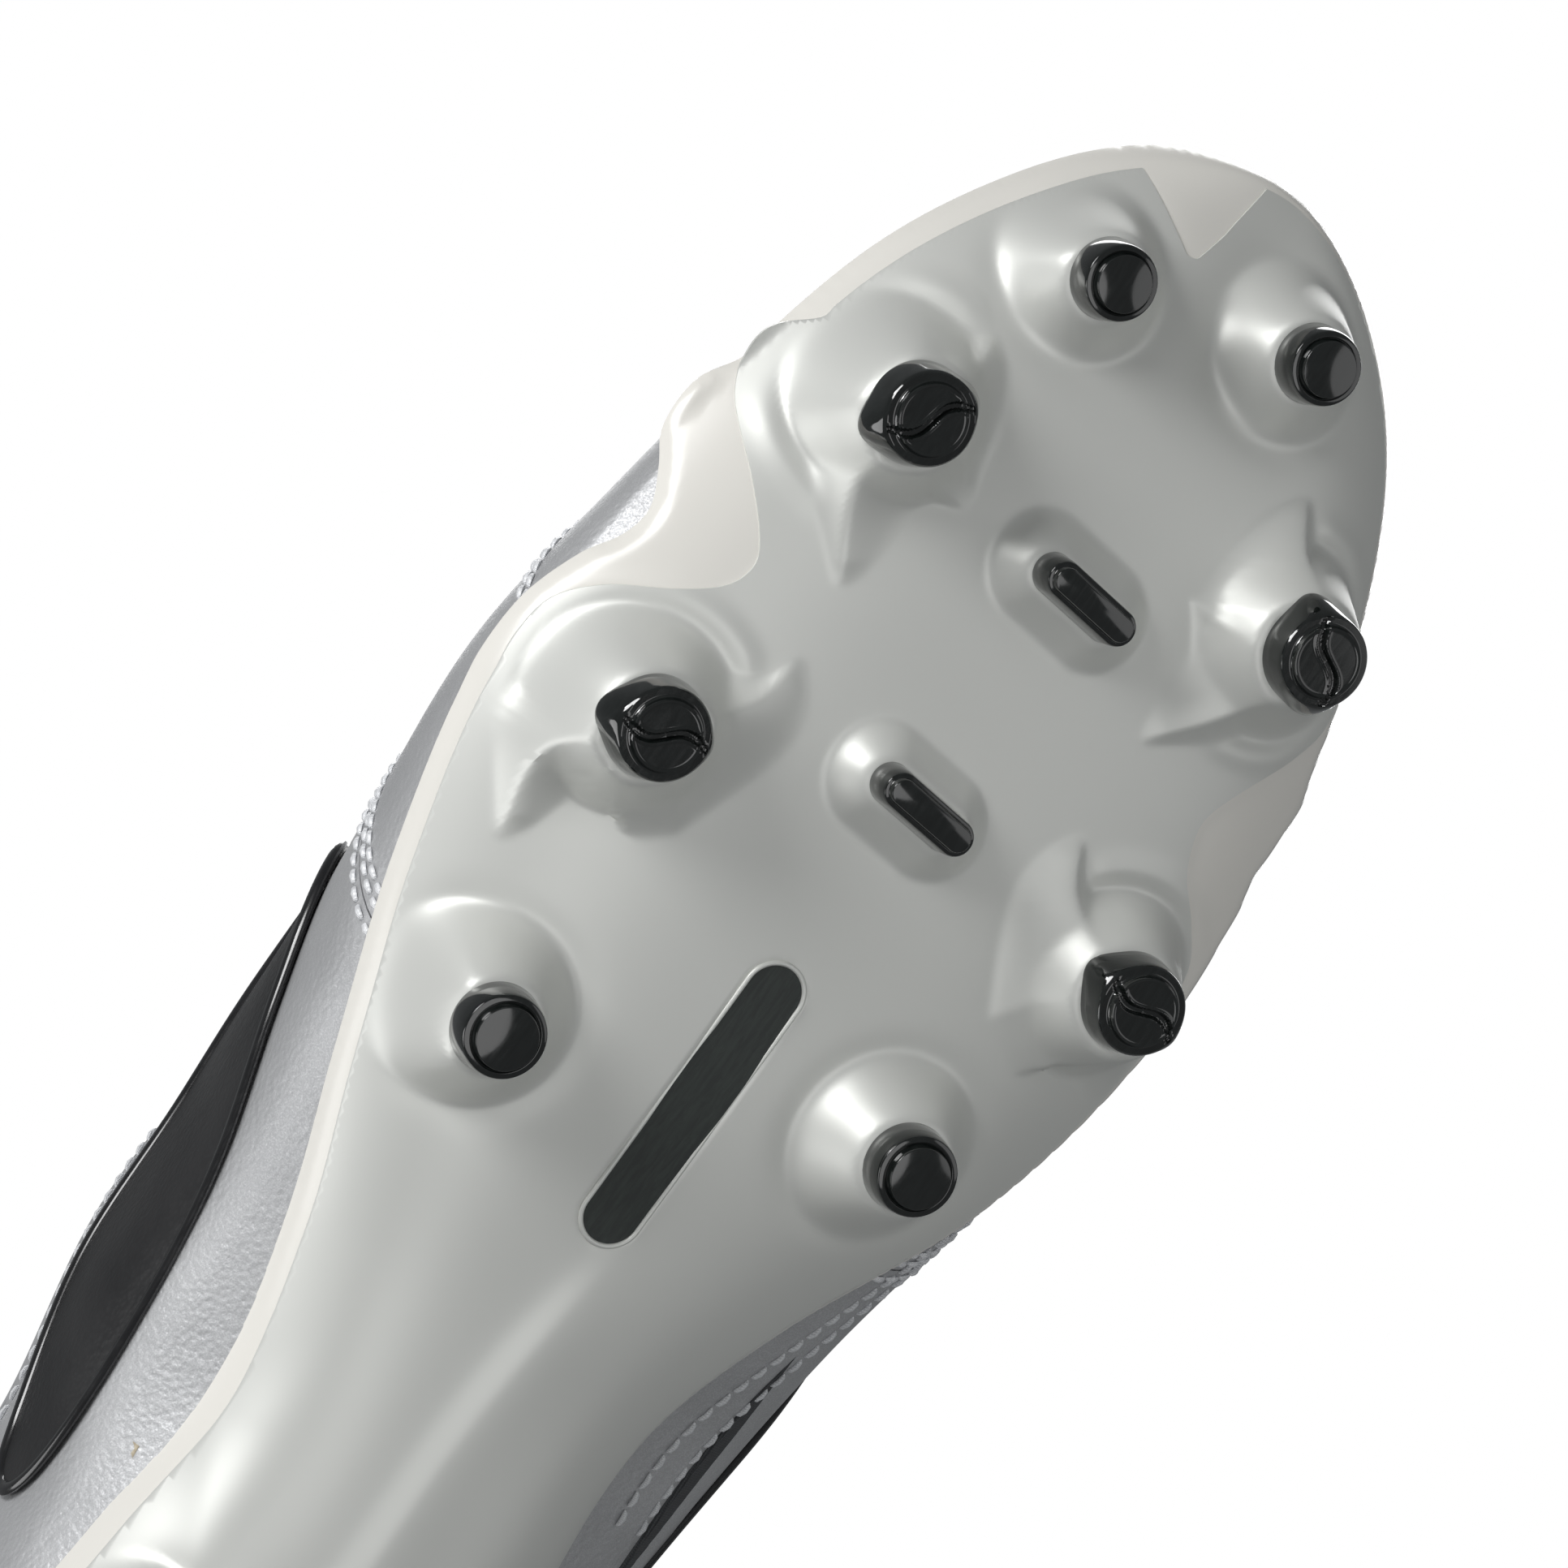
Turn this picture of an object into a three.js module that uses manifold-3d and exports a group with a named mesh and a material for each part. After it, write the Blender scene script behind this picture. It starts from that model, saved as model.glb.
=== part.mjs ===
// Right-foot football boot for firm ground, standing on its studs.
// Millimetres, +Z up, toe towards -Y, medial side towards +X.
// Inside the file a place is given as x (medial positive) and t, the distance forward from the heel.
import * as THREE from "three";
import { mergeVertices } from "three/addons/utils/BufferGeometryUtils.js";
import Module from "manifold-3d";

const wasm = await Module();
wasm.setup();

// ---- Driving dimensions -------------------------------------------------------------------------

const LENGTH = 286; // heel to toe over the sole plate
const HALF_BALL = 52; // half of the plate's width at the ball of the foot
const GAP = 0.3; // clearance between neighbouring pieces

const FILM = 0.6; // silver film under the plate
const PLATE = 1.6; // clear plate
const BOARD = 1.6; // lasting board
const SOCKLINER = 3.4; // removable foam insole
const LEATHER = 1.5; // outer leather
const MIDDLE = 1.2; // toe puff, heel stiffener and collar foam
const LINING = 1.0; // textile lining
const OVERLAY = 0.9; // eyestays, side panels and heel strip, laid on the leather
const TONGUE = 3.0; // padded tongue
const LACE = 1.8; // lace, as a round cord of its own thickness
const LACE_ROOM = LACE + 2 * GAP + 0.9; // channel between the lining and the tongue

const STUD_TIP = 5.6; // height of a moulded black stud tip
const STUD_FACE = 4.15; // radius of its raised disc
const STUD_RIM = 5.1; // radius of its shoulder
const STUD_FOOT = 5.8; // radius where it meets its dome
const DOME_FOOT = 13; // radius of the dome where it leaves the sole
const BAR_LENGTH = 15;
const BAR_WIDTH = 5.5;
const EYELET_PITCH = 12;
const EYELET_ROWS = 6;
const EYELET_HOLE = 2.5; // radius
const TOP_EYELET = 121; // t of the uppermost pair

const CUP_POWER = 4; // how sharply the plate curls up to its rim
const SEAT = 0.95; // share of the plate's half width that the upper stands on
const FLARE = 6; // height over which the upper spreads from its seat to its full width
const AROUND = 22; // facets round a section of the upper
const ALONG = 24; // sections from heel to toe
const FAR = 400; // longer than the boot
const BASE_DROP = 6; // how far the base of a working form lies below its seat
const EASE = 1.8; // room between the inner sheets' edges and the walls round them
const SPARE = 8; // how far the sole's working sheets pass the plate's edge

// Stations from heel (0) to toe (1). Widths are shares of HALF_BALL, heights are millimetres.
// out, inn: the plate's lateral and medial edges; wideOut, wideIn: the upper at its widest.
// low: the sole's underside at its middle; rimOut, rimIn: its rim; top: ridge of the closed upper.
const STATION_KEYS = ["at", "out", "inn", "wideOut", "wideIn", "low", "rimOut", "rimIn", "top"];
const STATIONS = [
  [0, 0, 0, 0, 0, 24, 30, 30, 80],
  [0.03, 0.43, 0.4, 0.45, 0.42, 17, 27, 27, 100],
  [0.08, 0.59, 0.55, 0.615, 0.585, 13.5, 25.5, 25.5, 114],
  [0.15, 0.625, 0.61, 0.67, 0.675, 12.3, 25, 25, 120],
  [0.22, 0.58, 0.57, 0.69, 0.74, 12.5, 26, 26, 122],
  [0.3, 0.53, 0.5, 0.76, 0.84, 14.5, 27, 27, 119],
  [0.38, 0.615, 0.49, 0.78, 0.885, 16, 27, 26, 109],
  [0.45, 0.755, 0.61, 0.855, 0.91, 15, 26, 24, 97],
  [0.54, 0.925, 0.845, 0.97, 0.945, 12.8, 25, 21.5, 82.5],
  [0.63, 1.025, 0.96, 1.04, 0.975, 12.2, 24.5, 20, 71],
  [0.72, 0.98, 0.975, 0.98, 0.975, 12.4, 24, 20, 62.5],
  [0.8, 0.89, 0.92, 0.885, 0.915, 13.5, 25.5, 22, 57],
  [0.87, 0.76, 0.83, 0.745, 0.82, 16.5, 28, 26, 54],
  [0.93, 0.555, 0.685, 0.545, 0.675, 21.5, 31, 30, 52],
  [0.975, 0.31, 0.465, 0.305, 0.455, 28, 33.5, 33.5, 49],
  [1, -0.08, 0.08, -0.08, 0.08, 33, 35, 35, 44],
].map((row) => Object.fromEntries(row.map((value, i) => [STATION_KEYS[i], value])));
// Waists in the plate's edge beside the forefoot: place, depth and half length.
const NOTCH_OUT = { at: 206, depth: 4.6, reach: 9 };
const NOTCH_IN = { at: 211, depth: 1.6, reach: 7 };
// The same places as bays in the film's edge, where the clear plate shows as a wing.
const WING_OUT = { at: 208, depth: 13, reach: 9 };
const WING_IN = { at: 209, depth: 11, reach: 9 };
const FILM_MARGIN = 3; // clear rim outside the film

// ---- Colours ------------------------------------------------------------------------------------

const FINISH = {
  film: { color: 0xb9bbb4, roughness: 0.35, metalness: 0.6 },
  clear: { color: 0xd7d2c6, roughness: 0.3, metalness: 0 },
  black: { color: 0x101413, roughness: 0.12, metalness: 0 },
  inlay: { color: 0x28302d, roughness: 0.5, metalness: 0 },
  leather: { color: 0xa6a8a9, roughness: 0.4, metalness: 0.5 },
  overlay: { color: 0xb4b6b7, roughness: 0.4, metalness: 0.5 },
  panel: { color: 0x17181a, roughness: 0.55, metalness: 0 },
  lining: { color: 0x3a3c3e, roughness: 0.9, metalness: 0 },
  foam: { color: 0x8d8f8c, roughness: 0.95, metalness: 0 },
  board: { color: 0xc9b996, roughness: 0.9, metalness: 0 },
  lace: { color: 0xe6e8ea, roughness: 0.8, metalness: 0 },
};

// ---- Curves along the boot ----------------------------------------------------------------------

// Stations are spaced by angle, so that a width that falls to nothing at an end does so as a round.
const spread = (at) => Math.acos(1 - 2 * Math.min(Math.max(at, 0), 1));

// A smooth curve through one column of the stations, at a share of the length.
function station(key, at) {
  const x = spread(at);
  let i = 0;
  while (i < STATIONS.length - 2 && spread(STATIONS[i + 1].at) < x) i += 1;
  const knot = (k) => {
    const row = STATIONS[Math.min(Math.max(k, 0), STATIONS.length - 1)];
    return { x: spread(row.at), y: row[key] };
  };
  const [before, a, b, after] = [knot(i - 1), knot(i), knot(i + 1), knot(i + 2)];
  const slopeA = (b.y - before.y) / (b.x - before.x);
  const slopeB = (after.y - a.y) / (after.x - a.x);
  const step = b.x - a.x;
  const u = (x - a.x) / step;
  const blend = u * u * (3 - 2 * u);
  return (
    a.y * (1 - blend) +
    b.y * blend +
    step * slopeA * u * (1 - u) * (1 - u) -
    step * slopeB * u * u * (1 - u)
  );
}

const bay = ({ at, depth, reach }, t) => depth * Math.exp(-(((t - at) / reach) ** 2));

// Height of the sole's underside. The cup follows the edge without its bays.
function soleHeight(t, x) {
  const at = Math.min(Math.max(t / LENGTH, 0), 1);
  const low = station("low", at);
  const out = HALF_BALL * station("out", at);
  const inn = HALF_BALL * station("inn", at);
  const share = Math.min(Math.abs((2 * x - inn + out) / Math.max(inn + out, 1)), 1);
  const side = station(2 * x < inn - out ? "rimOut" : "rimIn", at);
  return low + (side - low) * share ** CUP_POWER;
}

const PLATE_TOP = FILM + GAP + PLATE; // above the underside
const UPPER_SEAT = PLATE_TOP + GAP;
const BOARD_TOP = UPPER_SEAT + BOARD;
const SOCK_BASE = BOARD_TOP + GAP;

// How far each layer of the upper lies inside the leather's outer face.
const MIDDLE_FACE = LEATHER + GAP;
const LINING_FACE = MIDDLE_FACE + MIDDLE + GAP;
const CAVITY_FACE = LINING_FACE + LINING;
const SOCK_EDGE = CAVITY_FACE + GAP;
const TONGUE_FACE = CAVITY_FACE + LACE_ROOM;

const squareness = (t) => 2.1 + 0.5 * Math.exp(-(((t - 60) / 60) ** 2));
const ridge = (t) => 3 * Math.exp(-(((t - 180) / 60) ** 2));
// How much the medial wall draws in above the arch.
function archHollow(t, z) {
  const rise = Math.min(Math.max((z - 40) / 40, 0), 1);
  return 0.1 * Math.exp(-(((t - 92) / 42) ** 2)) * rise * rise * (3 - 2 * rise);
}
// The line over the top of the foot that the throat follows.
function spine(t) {
  const at = t / LENGTH;
  return (HALF_BALL * (station("inn", at) - station("out", at))) / 2 + ridge(t);
}
// The back of the heel leans forward as it rises.
const lean = (t, z) => 0.0042 * Math.max(z - 34, 0) ** 2 * Math.max(1 - t / 90, 0) ** 2;

// A point over the top of the closed upper form. angle 0 is the medial seat, PI the lateral one.
function overPoint(at, angle, inset) {
  const t = inset + (LENGTH - 2 * inset) * at;
  const out = HALF_BALL * station("out", at);
  const inn = HALF_BALL * station("inn", at);
  const middle = (inn - out) / 2;
  const reach = Math.max(((inn + out) / 2) * SEAT - inset, 0.3);
  const side = Math.cos(angle);
  const power = 2 / squareness(t);
  const rise = Math.max(Math.sin(angle), 0) ** power;
  const seatOut = soleHeight(t, middle - reach);
  const seatIn = soleHeight(t, middle + reach);
  const seat = (seatIn + seatOut) / 2 + ((seatIn - seatOut) / 2) * side + UPPER_SEAT;
  const z = seat + rise * Math.max(station("top", at) - inset - seat, 1);
  const widest = HALF_BALL * station(side < 0 ? "wideOut" : "wideIn", at) - Math.sign(side) * middle;
  const drawnIn = side > 0 ? 1 - archHollow(t, z) : 1;
  const wide = Math.max(widest * drawnIn - inset, 0.3);
  const half = wide + (reach - wide) * Math.exp((seat - z) / FLARE);
  const x = middle + Math.sign(side) * Math.abs(side) ** power * half + ridge(t) * rise;
  return { x, t: t + lean(t, z), z };
}

// A point on the form's base, from -1 (lateral) to 1 (medial).
function basePoint(at, share, inset) {
  const t = inset + (LENGTH - 2 * inset) * at;
  const out = HALF_BALL * station("out", at);
  const inn = HALF_BALL * station("inn", at);
  const middle = (inn - out) / 2;
  const reach = Math.max(((inn + out) / 2) * SEAT - inset, 0.3);
  const x = middle + Math.sin((Math.PI / 2) * share) * reach;
  const z = soleHeight(t, x) + UPPER_SEAT - BASE_DROP;
  return { x, t: t + lean(t, z), z };
}

// ---- Solids -------------------------------------------------------------------------------------

// A closed three.js geometry as a manifold solid, with the triangles of no area left out.
function solid(geometry) {
  const bare = geometry.clone();
  bare.deleteAttribute("normal");
  bare.deleteAttribute("uv");
  const merged = mergeVertices(bare, 1e-4);
  const kept = [];
  const index = merged.index.array;
  for (let i = 0; i < index.length; i += 3) {
    const [a, b, c] = [index[i], index[i + 1], index[i + 2]];
    if (a !== b && b !== c && c !== a) kept.push(a, b, c);
  }
  return new wasm.Manifold(
    new wasm.Mesh({
      numProp: 3,
      vertProperties: merged.attributes.position.array,
      triVerts: new Uint32Array(kept),
    }),
  );
}

// Moves every vertex of a geometry by a rule from its old place to its new one.
function reshaped(geometry, rule) {
  const place = geometry.getAttribute("position");
  const v = new THREE.Vector3();
  for (let i = 0; i < place.count; i += 1) {
    v.fromBufferAttribute(place, i);
    const { x, t, z } = rule(v, i);
    place.setXYZ(i, x, -t, z);
  }
  return geometry;
}

// The closed form of the upper, made from a sphere whose poles are the heel and the toe.
// Its base lies a little low, and is cut off square to the sole afterwards.
function form(inset) {
  const sphere = new THREE.SphereGeometry(1, AROUND, ALONG);
  const perRing = AROUND + 1;
  return solid(
    reshaped(sphere, (_, i) => {
      const row = Math.floor(i / perRing);
      const turn = (i % perRing) / AROUND;
      const at = (1 - Math.cos((Math.PI * row) / ALONG)) / 2;
      if (row === 0 || row === ALONG) {
        const low = basePoint(at, 0, inset);
        const high = overPoint(at, Math.PI / 2, inset);
        return { x: low.x, t: low.t, z: (low.z + high.z) / 2 };
      }
      if (turn <= 0.5 || turn === 1) return overPoint(at, Math.PI * (1 - 2 * (turn % 1)), inset);
      return basePoint(at, 3 - 4 * turn, inset);
    }),
  );
}

// Everything below a height over the sole's underside, wider and longer than the boot.
// Its cross lines stand closer together towards the rim, where the sole curls.
function soleZone(high) {
  const box = new THREE.BoxGeometry(1, 1, 1, 12, 24, 1);
  return solid(
    reshaped(box, (v) => {
      const at = (1 - Math.cos(Math.PI * (0.5 - v.y))) / 2;
      const t = (LENGTH + 2 * SPARE) * at - SPARE;
      const { lateral, medial } = insideEdges(at, 0);
      const half = (medial - lateral) / 2 + SPARE;
      const x = (lateral + medial) / 2 + Math.sin(Math.PI * v.x) * half;
      return { x, t, z: v.z < 0 ? -FAR : soleHeight(t, x) + high };
    }),
  );
}

// A sheet that follows the sole between two heights.
const soleSheet = (low, high) => soleZone(high).subtract(soleZone(low));

// An upright prism over a plan outline; the rule gives its two edges at a share of its own length.
function outlinePrism(endMargin, rule, steps = 32) {
  const lateralSide = [];
  const medialSide = [];
  for (let i = 0; i <= steps; i += 1) {
    const at = (1 - Math.cos((Math.PI * i) / steps)) / 2;
    const t = endMargin + (LENGTH - 2 * endMargin) * at;
    const { lateral, medial } = rule(at, t);
    lateralSide.push([lateral, t]);
    if (medial > lateral + 0.1) medialSide.unshift([medial, t]);
  }
  return planPrism([...lateralSide, ...medialSide], -FAR, FAR);
}

// The edges of a sheet that stays a margin inside the plate and comes to a point at both ends.
function insideEdges(at, margin) {
  const out = HALF_BALL * station("out", at);
  const inn = HALF_BALL * station("inn", at);
  const half = Math.max((inn + out) / 2, 0);
  const kept = margin > 0 ? (half * half) / (half + margin) : half;
  const middle = (inn - out) / 2;
  return { lateral: middle - kept, medial: middle + kept };
}

const plateEdges = (at, t) => {
  const { lateral, medial } = insideEdges(at, 0);
  return { lateral: lateral + bay(NOTCH_OUT, t), medial: medial - bay(NOTCH_IN, t) };
};
// Between the film's edge and the plate's: as far as a dome may spread.
const rimEdges = (at, t) => {
  const { lateral, medial } = insideEdges(at, FILM_MARGIN / 2);
  return { lateral: lateral + bay(NOTCH_OUT, t), medial: medial - bay(NOTCH_IN, t) };
};
const filmEdges = (at, t) => {
  const { lateral, medial } = insideEdges(at, FILM_MARGIN);
  return {
    lateral: lateral + bay(NOTCH_OUT, t) + bay(WING_OUT, t),
    medial: medial - bay(NOTCH_IN, t) - bay(WING_IN, t),
  };
};

// A straight prism over a plan outline of [x, t] corners.
function planPrism(corners, low, high) {
  const shape = new THREE.Shape(corners.map(([x, t]) => new THREE.Vector2(x, -t)));
  const prism = new THREE.ExtrudeGeometry(shape, { depth: high - low, bevelEnabled: false });
  return solid(prism.translate(0, 0, low));
}

// A prism right across the boot over a side outline of [t, z] corners.
function sidePrism(corners) {
  const shape = new THREE.Shape(corners.map(([t, z]) => new THREE.Vector2(-t, z)));
  const prism = new THREE.ExtrudeGeometry(shape, { depth: 2 * FAR, bevelEnabled: false });
  prism.translate(0, 0, -FAR);
  const across = new THREE.Matrix4().set(0, 0, 1, 0, 1, 0, 0, 0, 0, 1, 0, 0, 0, 0, 0, 1);
  return solid(prism.applyMatrix4(across));
}

// The angle on the closed form at which its surface lies at x.
function angleAt(at, x, inset) {
  let [low, high] = [0.02, Math.PI - 0.02];
  for (let i = 0; i < 40; i += 1) {
    const middle = (low + high) / 2;
    if (overPoint(at, middle, inset).x > x) low = middle;
    else high = middle;
  }
  return (low + high) / 2;
}

// A place on the upper, an inset below its outer face (negative stands proud).
function onUpper(t, x, inset) {
  const at = (t - inset) / (LENGTH - 2 * inset);
  const p = overPoint(at, angleAt(at, x, inset), inset);
  return new THREE.Vector3(p.x, -p.t, p.z);
}

// The angle reached by walking a distance round the form from another angle, towards one side.
function angleBeyond(at, start, side, distance, inset) {
  let angle = start;
  let walked = 0;
  let last = overPoint(at, angle, inset);
  while (walked < distance && angle > 0.05 && angle < Math.PI - 0.05) {
    angle -= side * 0.01;
    const next = overPoint(at, angle, inset);
    walked += Math.hypot(next.x - last.x, next.z - last.z);
    last = next;
  }
  return angle;
}

// A place a distance round the upper from the throat's edge (negative is inside the throat).
function besideThroat(t, side, distance, inset) {
  const at = (t - inset) / (LENGTH - 2 * inset);
  const edge = angleAt(at, spine(t) + side * throatHalf(t), inset);
  const away = side * Math.sign(distance);
  const p = overPoint(at, angleBeyond(at, edge, away, Math.abs(distance), inset), inset);
  return new THREE.Vector3(p.x, -p.t, p.z);
}

// ---- Studs --------------------------------------------------------------------------------------

// Every stud: x and t of its tip's centre, the height of its face, and its kind.
// A blade stud also has the directions of its two fins, in degrees from the toe towards medial.
const STUDS = {
  toe_stud_lateral: { x: -18, t: 260.5, face: 8, kind: "round", scale: 0.9 },
  toe_stud_medial: { x: 11.5, t: 267.5, face: 9, kind: "round", scale: 0.9 },
  blade_stud_lateral_front: { x: -31, t: 233, face: 2, kind: "blade", scale: 1.12, fins: [35, 165] },
  blade_stud_medial_front: { x: 30.5, t: 237.5, face: 2, kind: "blade", scale: 1.12, fins: [-15, 205] },
  blade_stud_lateral_ball: { x: -37, t: 184, face: 0, kind: "blade", scale: 1.12, fins: [45, 195] },
  blade_stud_medial_ball: { x: 36, t: 189, face: 0, kind: "blade", scale: 1.12, fins: [-45, 100] },
  round_stud_lateral_rear: { x: -32, t: 143.5, face: 0, kind: "round", scale: 1 },
  round_stud_medial_rear: { x: 23.5, t: 156.5, face: 0, kind: "round", scale: 1 },
  centre_bar_front: { x: 1, t: 226.5, face: 4, kind: "bar" },
  centre_bar_rear: { x: -1.5, t: 194, face: 3, kind: "bar" },
  heel_stud_lateral_front: { x: -20.5, t: 55, face: 0, kind: "round", scale: 1 },
  heel_stud_medial_front: { x: 19, t: 56, face: 0, kind: "round", scale: 1 },
  heel_stud_lateral_back: { x: -16, t: 21, face: 0, kind: "round", scale: 1 },
  heel_stud_medial_back: { x: 14.5, t: 21.5, face: 0, kind: "round", scale: 1 },
};
const BAR_TURN = (6 * Math.PI) / 180; // the bars' medial ends point a little towards the heel
const FIN_LENGTH = 26;
const FIN_WIDTH = 9;
const STUD_SIDES = 12;
const DOME_SIDES = 10;

// A solid of revolution from [radius, height] corners, standing on its own axis.
function turned(corners, sides = STUD_SIDES) {
  const profile = corners.map(([r, z]) => new THREE.Vector2(r, z));
  return solid(new THREE.LatheGeometry(profile, sides).rotateX(Math.PI / 2));
}

const moved = (body, { x, t }, z) => body.translate([x, -t, z]);
const radians = (degrees) => (degrees * Math.PI) / 180;

function roundTip(scale) {
  const [face, rim, foot] = [STUD_FACE, STUD_RIM, STUD_FOOT].map((r) => r * scale);
  return turned([
    [0, 0],
    [face, 0],
    [face + 0.2, 0.7],
    [rim, 0.9],
    [rim + 0.2, 1.5],
    [foot, STUD_TIP],
    [0, STUD_TIP],
  ]);
}

// A round tip with a pointed nose towards each fin, tapering to nothing at the face.
function bladeTip({ scale, fins }) {
  const noses = fins.map((degrees) => {
    const nose = new THREE.CylinderGeometry(0.3, 3.4, STUD_TIP - 1.2, 4).rotateX(-Math.PI / 2);
    nose.translate(0, -STUD_FOOT * scale + 0.6, (STUD_TIP + 1.2) / 2);
    return solid(nose.rotateZ(radians(degrees)));
  });
  return noses.reduce((body, nose) => body.add(nose), roundTip(scale));
}

// An upright prism with rounded ends, along x.
function stadium(length, width, low, high) {
  const straight = (length - width) / 2;
  const shape = new THREE.Shape();
  shape.absarc(straight, 0, width / 2, -Math.PI / 2, Math.PI / 2, false);
  shape.absarc(-straight, 0, width / 2, Math.PI / 2, (3 * Math.PI) / 2, false);
  const settings = { depth: high - low, bevelEnabled: false, curveSegments: 6 };
  return new THREE.ExtrudeGeometry(shape, settings).translate(0, 0, low);
}

function barTip() {
  const foot = solid(stadium(BAR_LENGTH, BAR_WIDTH, 0.9, STUD_TIP).rotateZ(BAR_TURN));
  const face = solid(stadium(BAR_LENGTH - 2, BAR_WIDTH - 2, 0, 1.2).rotateZ(BAR_TURN));
  return foot.add(face);
}

function studTip(stud) {
  const shapes = { bar: barTip, blade: () => bladeTip(stud), round: () => roundTip(stud.scale) };
  return moved(shapes[stud.kind](), stud, stud.face);
}

// A pointed ridge that runs from the middle of a stud out to nothing at the sole.
function fin(degrees, height) {
  const plan = new THREE.Shape();
  plan.moveTo(-FIN_WIDTH / 2, 0).lineTo(0, -FIN_LENGTH).lineTo(FIN_WIDTH / 2, 0).closePath();
  const leaf = new THREE.ExtrudeGeometry(plan, { depth: height + 12, bevelEnabled: false });
  const slope = new THREE.BoxGeometry(60, 60, 60).translate(0, 0, 30);
  slope.rotateX(-Math.atan2(height, FIN_LENGTH));
  return solid(leaf).intersect(solid(slope)).rotate([0, 0, degrees]);
}

// The dome that carries a stud: a bell from the sole down to the tip, with its fins.
function dome(stud) {
  const top = stud.face + STUD_TIP + GAP;
  const height = soleHeight(stud.t, stud.x) - top;
  if (stud.kind === "bar") {
    const pad = stadium(BAR_LENGTH + 2, BAR_WIDTH + 2, 0, height + 4).rotateZ(BAR_TURN);
    return moved(solid(pad), stud, top);
  }
  const neck = STUD_FOOT * stud.scale + 0.4;
  const foot = DOME_FOOT * stud.scale;
  const profile = [
    [0, 0],
    [neck, 0],
    [neck + (foot - neck) * 0.3, height * 0.55],
    [foot, height],
    [foot + 1, height + 8],
    [0, height + 8],
  ];
  const bell = turned(profile, DOME_SIDES);
  const fins = (stud.fins ?? []).map((degrees) => fin(degrees, height));
  return moved(fins.reduce((body, ridge) => body.add(ridge), bell), stud, top);
}

// ---- Sole ---------------------------------------------------------------------------------------

// The black inlay in the forefoot: a plain capsule along the boot.
const INLAY = { x: -1.5, t: 148, length: 42, width: 8 };
// The wedge of clear plate that cuts into the film at the toe, [x, t].
const TOE_WEDGE = [
  [-3, 270],
  [2.5, 284],
  [7, 300],
  [-30, 300],
  [-15, 279],
];

const solePlate = () => soleSheet(FILM + GAP, PLATE_TOP).intersect(outlinePrism(0, plateEdges));

function inlayPrism(extra) {
  const { x, t, length, width } = INLAY;
  const capsule = stadium(length + 2 * extra, width + 2 * extra, 0, FAR).rotateZ(Math.PI / 2);
  return solid(capsule.translate(x, -t, 0));
}

function soleFilm() {
  const skin = soleSheet(0, FILM).intersect(outlinePrism(FILM_MARGIN, filmEdges));
  const inFilm = soleZone(FILM / 2).intersect(outlinePrism(FILM_MARGIN / 2, rimEdges));
  const domes = Object.values(STUDS).map((stud) => dome(stud).intersect(inFilm));
  const whole = domes.reduce((body, part) => body.add(part), skin);
  return whole.subtract(inlayPrism(GAP)).subtract(planPrism(TOE_WEDGE, 0, FAR));
}

const soleInlay = () => soleSheet(0, FILM).intersect(inlayPrism(0));

// ---- Upper --------------------------------------------------------------------------------------

// Side outlines, [t, z]. The seams run from the sole up to the top of the boot.
const VAMP_SEAM = [
  [134, -20],
  [142, 22],
  [156, 45],
  [175, 72],
  [187, 90],
  [190, 160],
];
const HEEL_SEAM = [
  [40, -20],
  [41, 22],
  [34, 50],
  [33, 90],
  [33, 160],
];
// The topline of the collar, from behind the heel to the top of the throat.
const TOPLINE = [
  [-30, 87],
  [7, 87],
  [20, 84],
  [38, 76],
  [58, 71.5],
  [78, 73.5],
  [95, 82],
  [107, 93],
  [113, 104],
  [112, 118],
];
const COLLAR_DEPTH = 14; // depth of the padded band below the topline
const STIFFENER_REACH = 74; // how far forward the heel stiffener goes
const TOE_PUFF_FROM = 236;
const LINING_BACK = 10; // how far the lining stops short of the throat, outside the eyelets
const THROAT_END = 184; // front of the throat
const THROAT_FRONT_HALF = 7;
const THROAT_REAR_HALF = 17;
const EYESTAY_WIDTH = 9.5;
const EYESTAY_FROM = 115;
const TONGUE_TOP = 88; // t of the tongue's free end
const TONGUE_LAP = 6; // how far the tongue reaches under each side
const PANEL_FROM = 58;
const PANEL_TO = 148;
const PANEL_HEIGHT = 53; // of the side panel's middle above the ground
const PANEL_HALF = 13.5;
const PANEL_TILT = 0.13; // radians, rising towards the toe

const throatHalf = (t) => {
  const share = (THROAT_END - t) / (THROAT_END - 110);
  return THROAT_FRONT_HALF + (THROAT_REAR_HALF - THROAT_FRONT_HALF) * share;
};
const shifted = (line, along, up = 0) => line.map(([t, z]) => [t + along, z + up]);
const aheadOf = (seam, gap) => sidePrism([...shifted(seam, gap), [FAR, 160], [FAR, -20]]);
const behind = (seam, gap) => sidePrism([[-FAR, -20], ...shifted(seam, -gap), [-FAR, 160]]);
const aboveLine = (drop) =>
  sidePrism([[-30, 200], ...shifted(TOPLINE, 0, -drop), [TOPLINE.at(-1)[0], 200]]);
const sideHalf = (side) =>
  solid(new THREE.BoxGeometry(FAR, 2 * FAR, FAR).translate((side * FAR) / 2, 0, 0));

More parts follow.
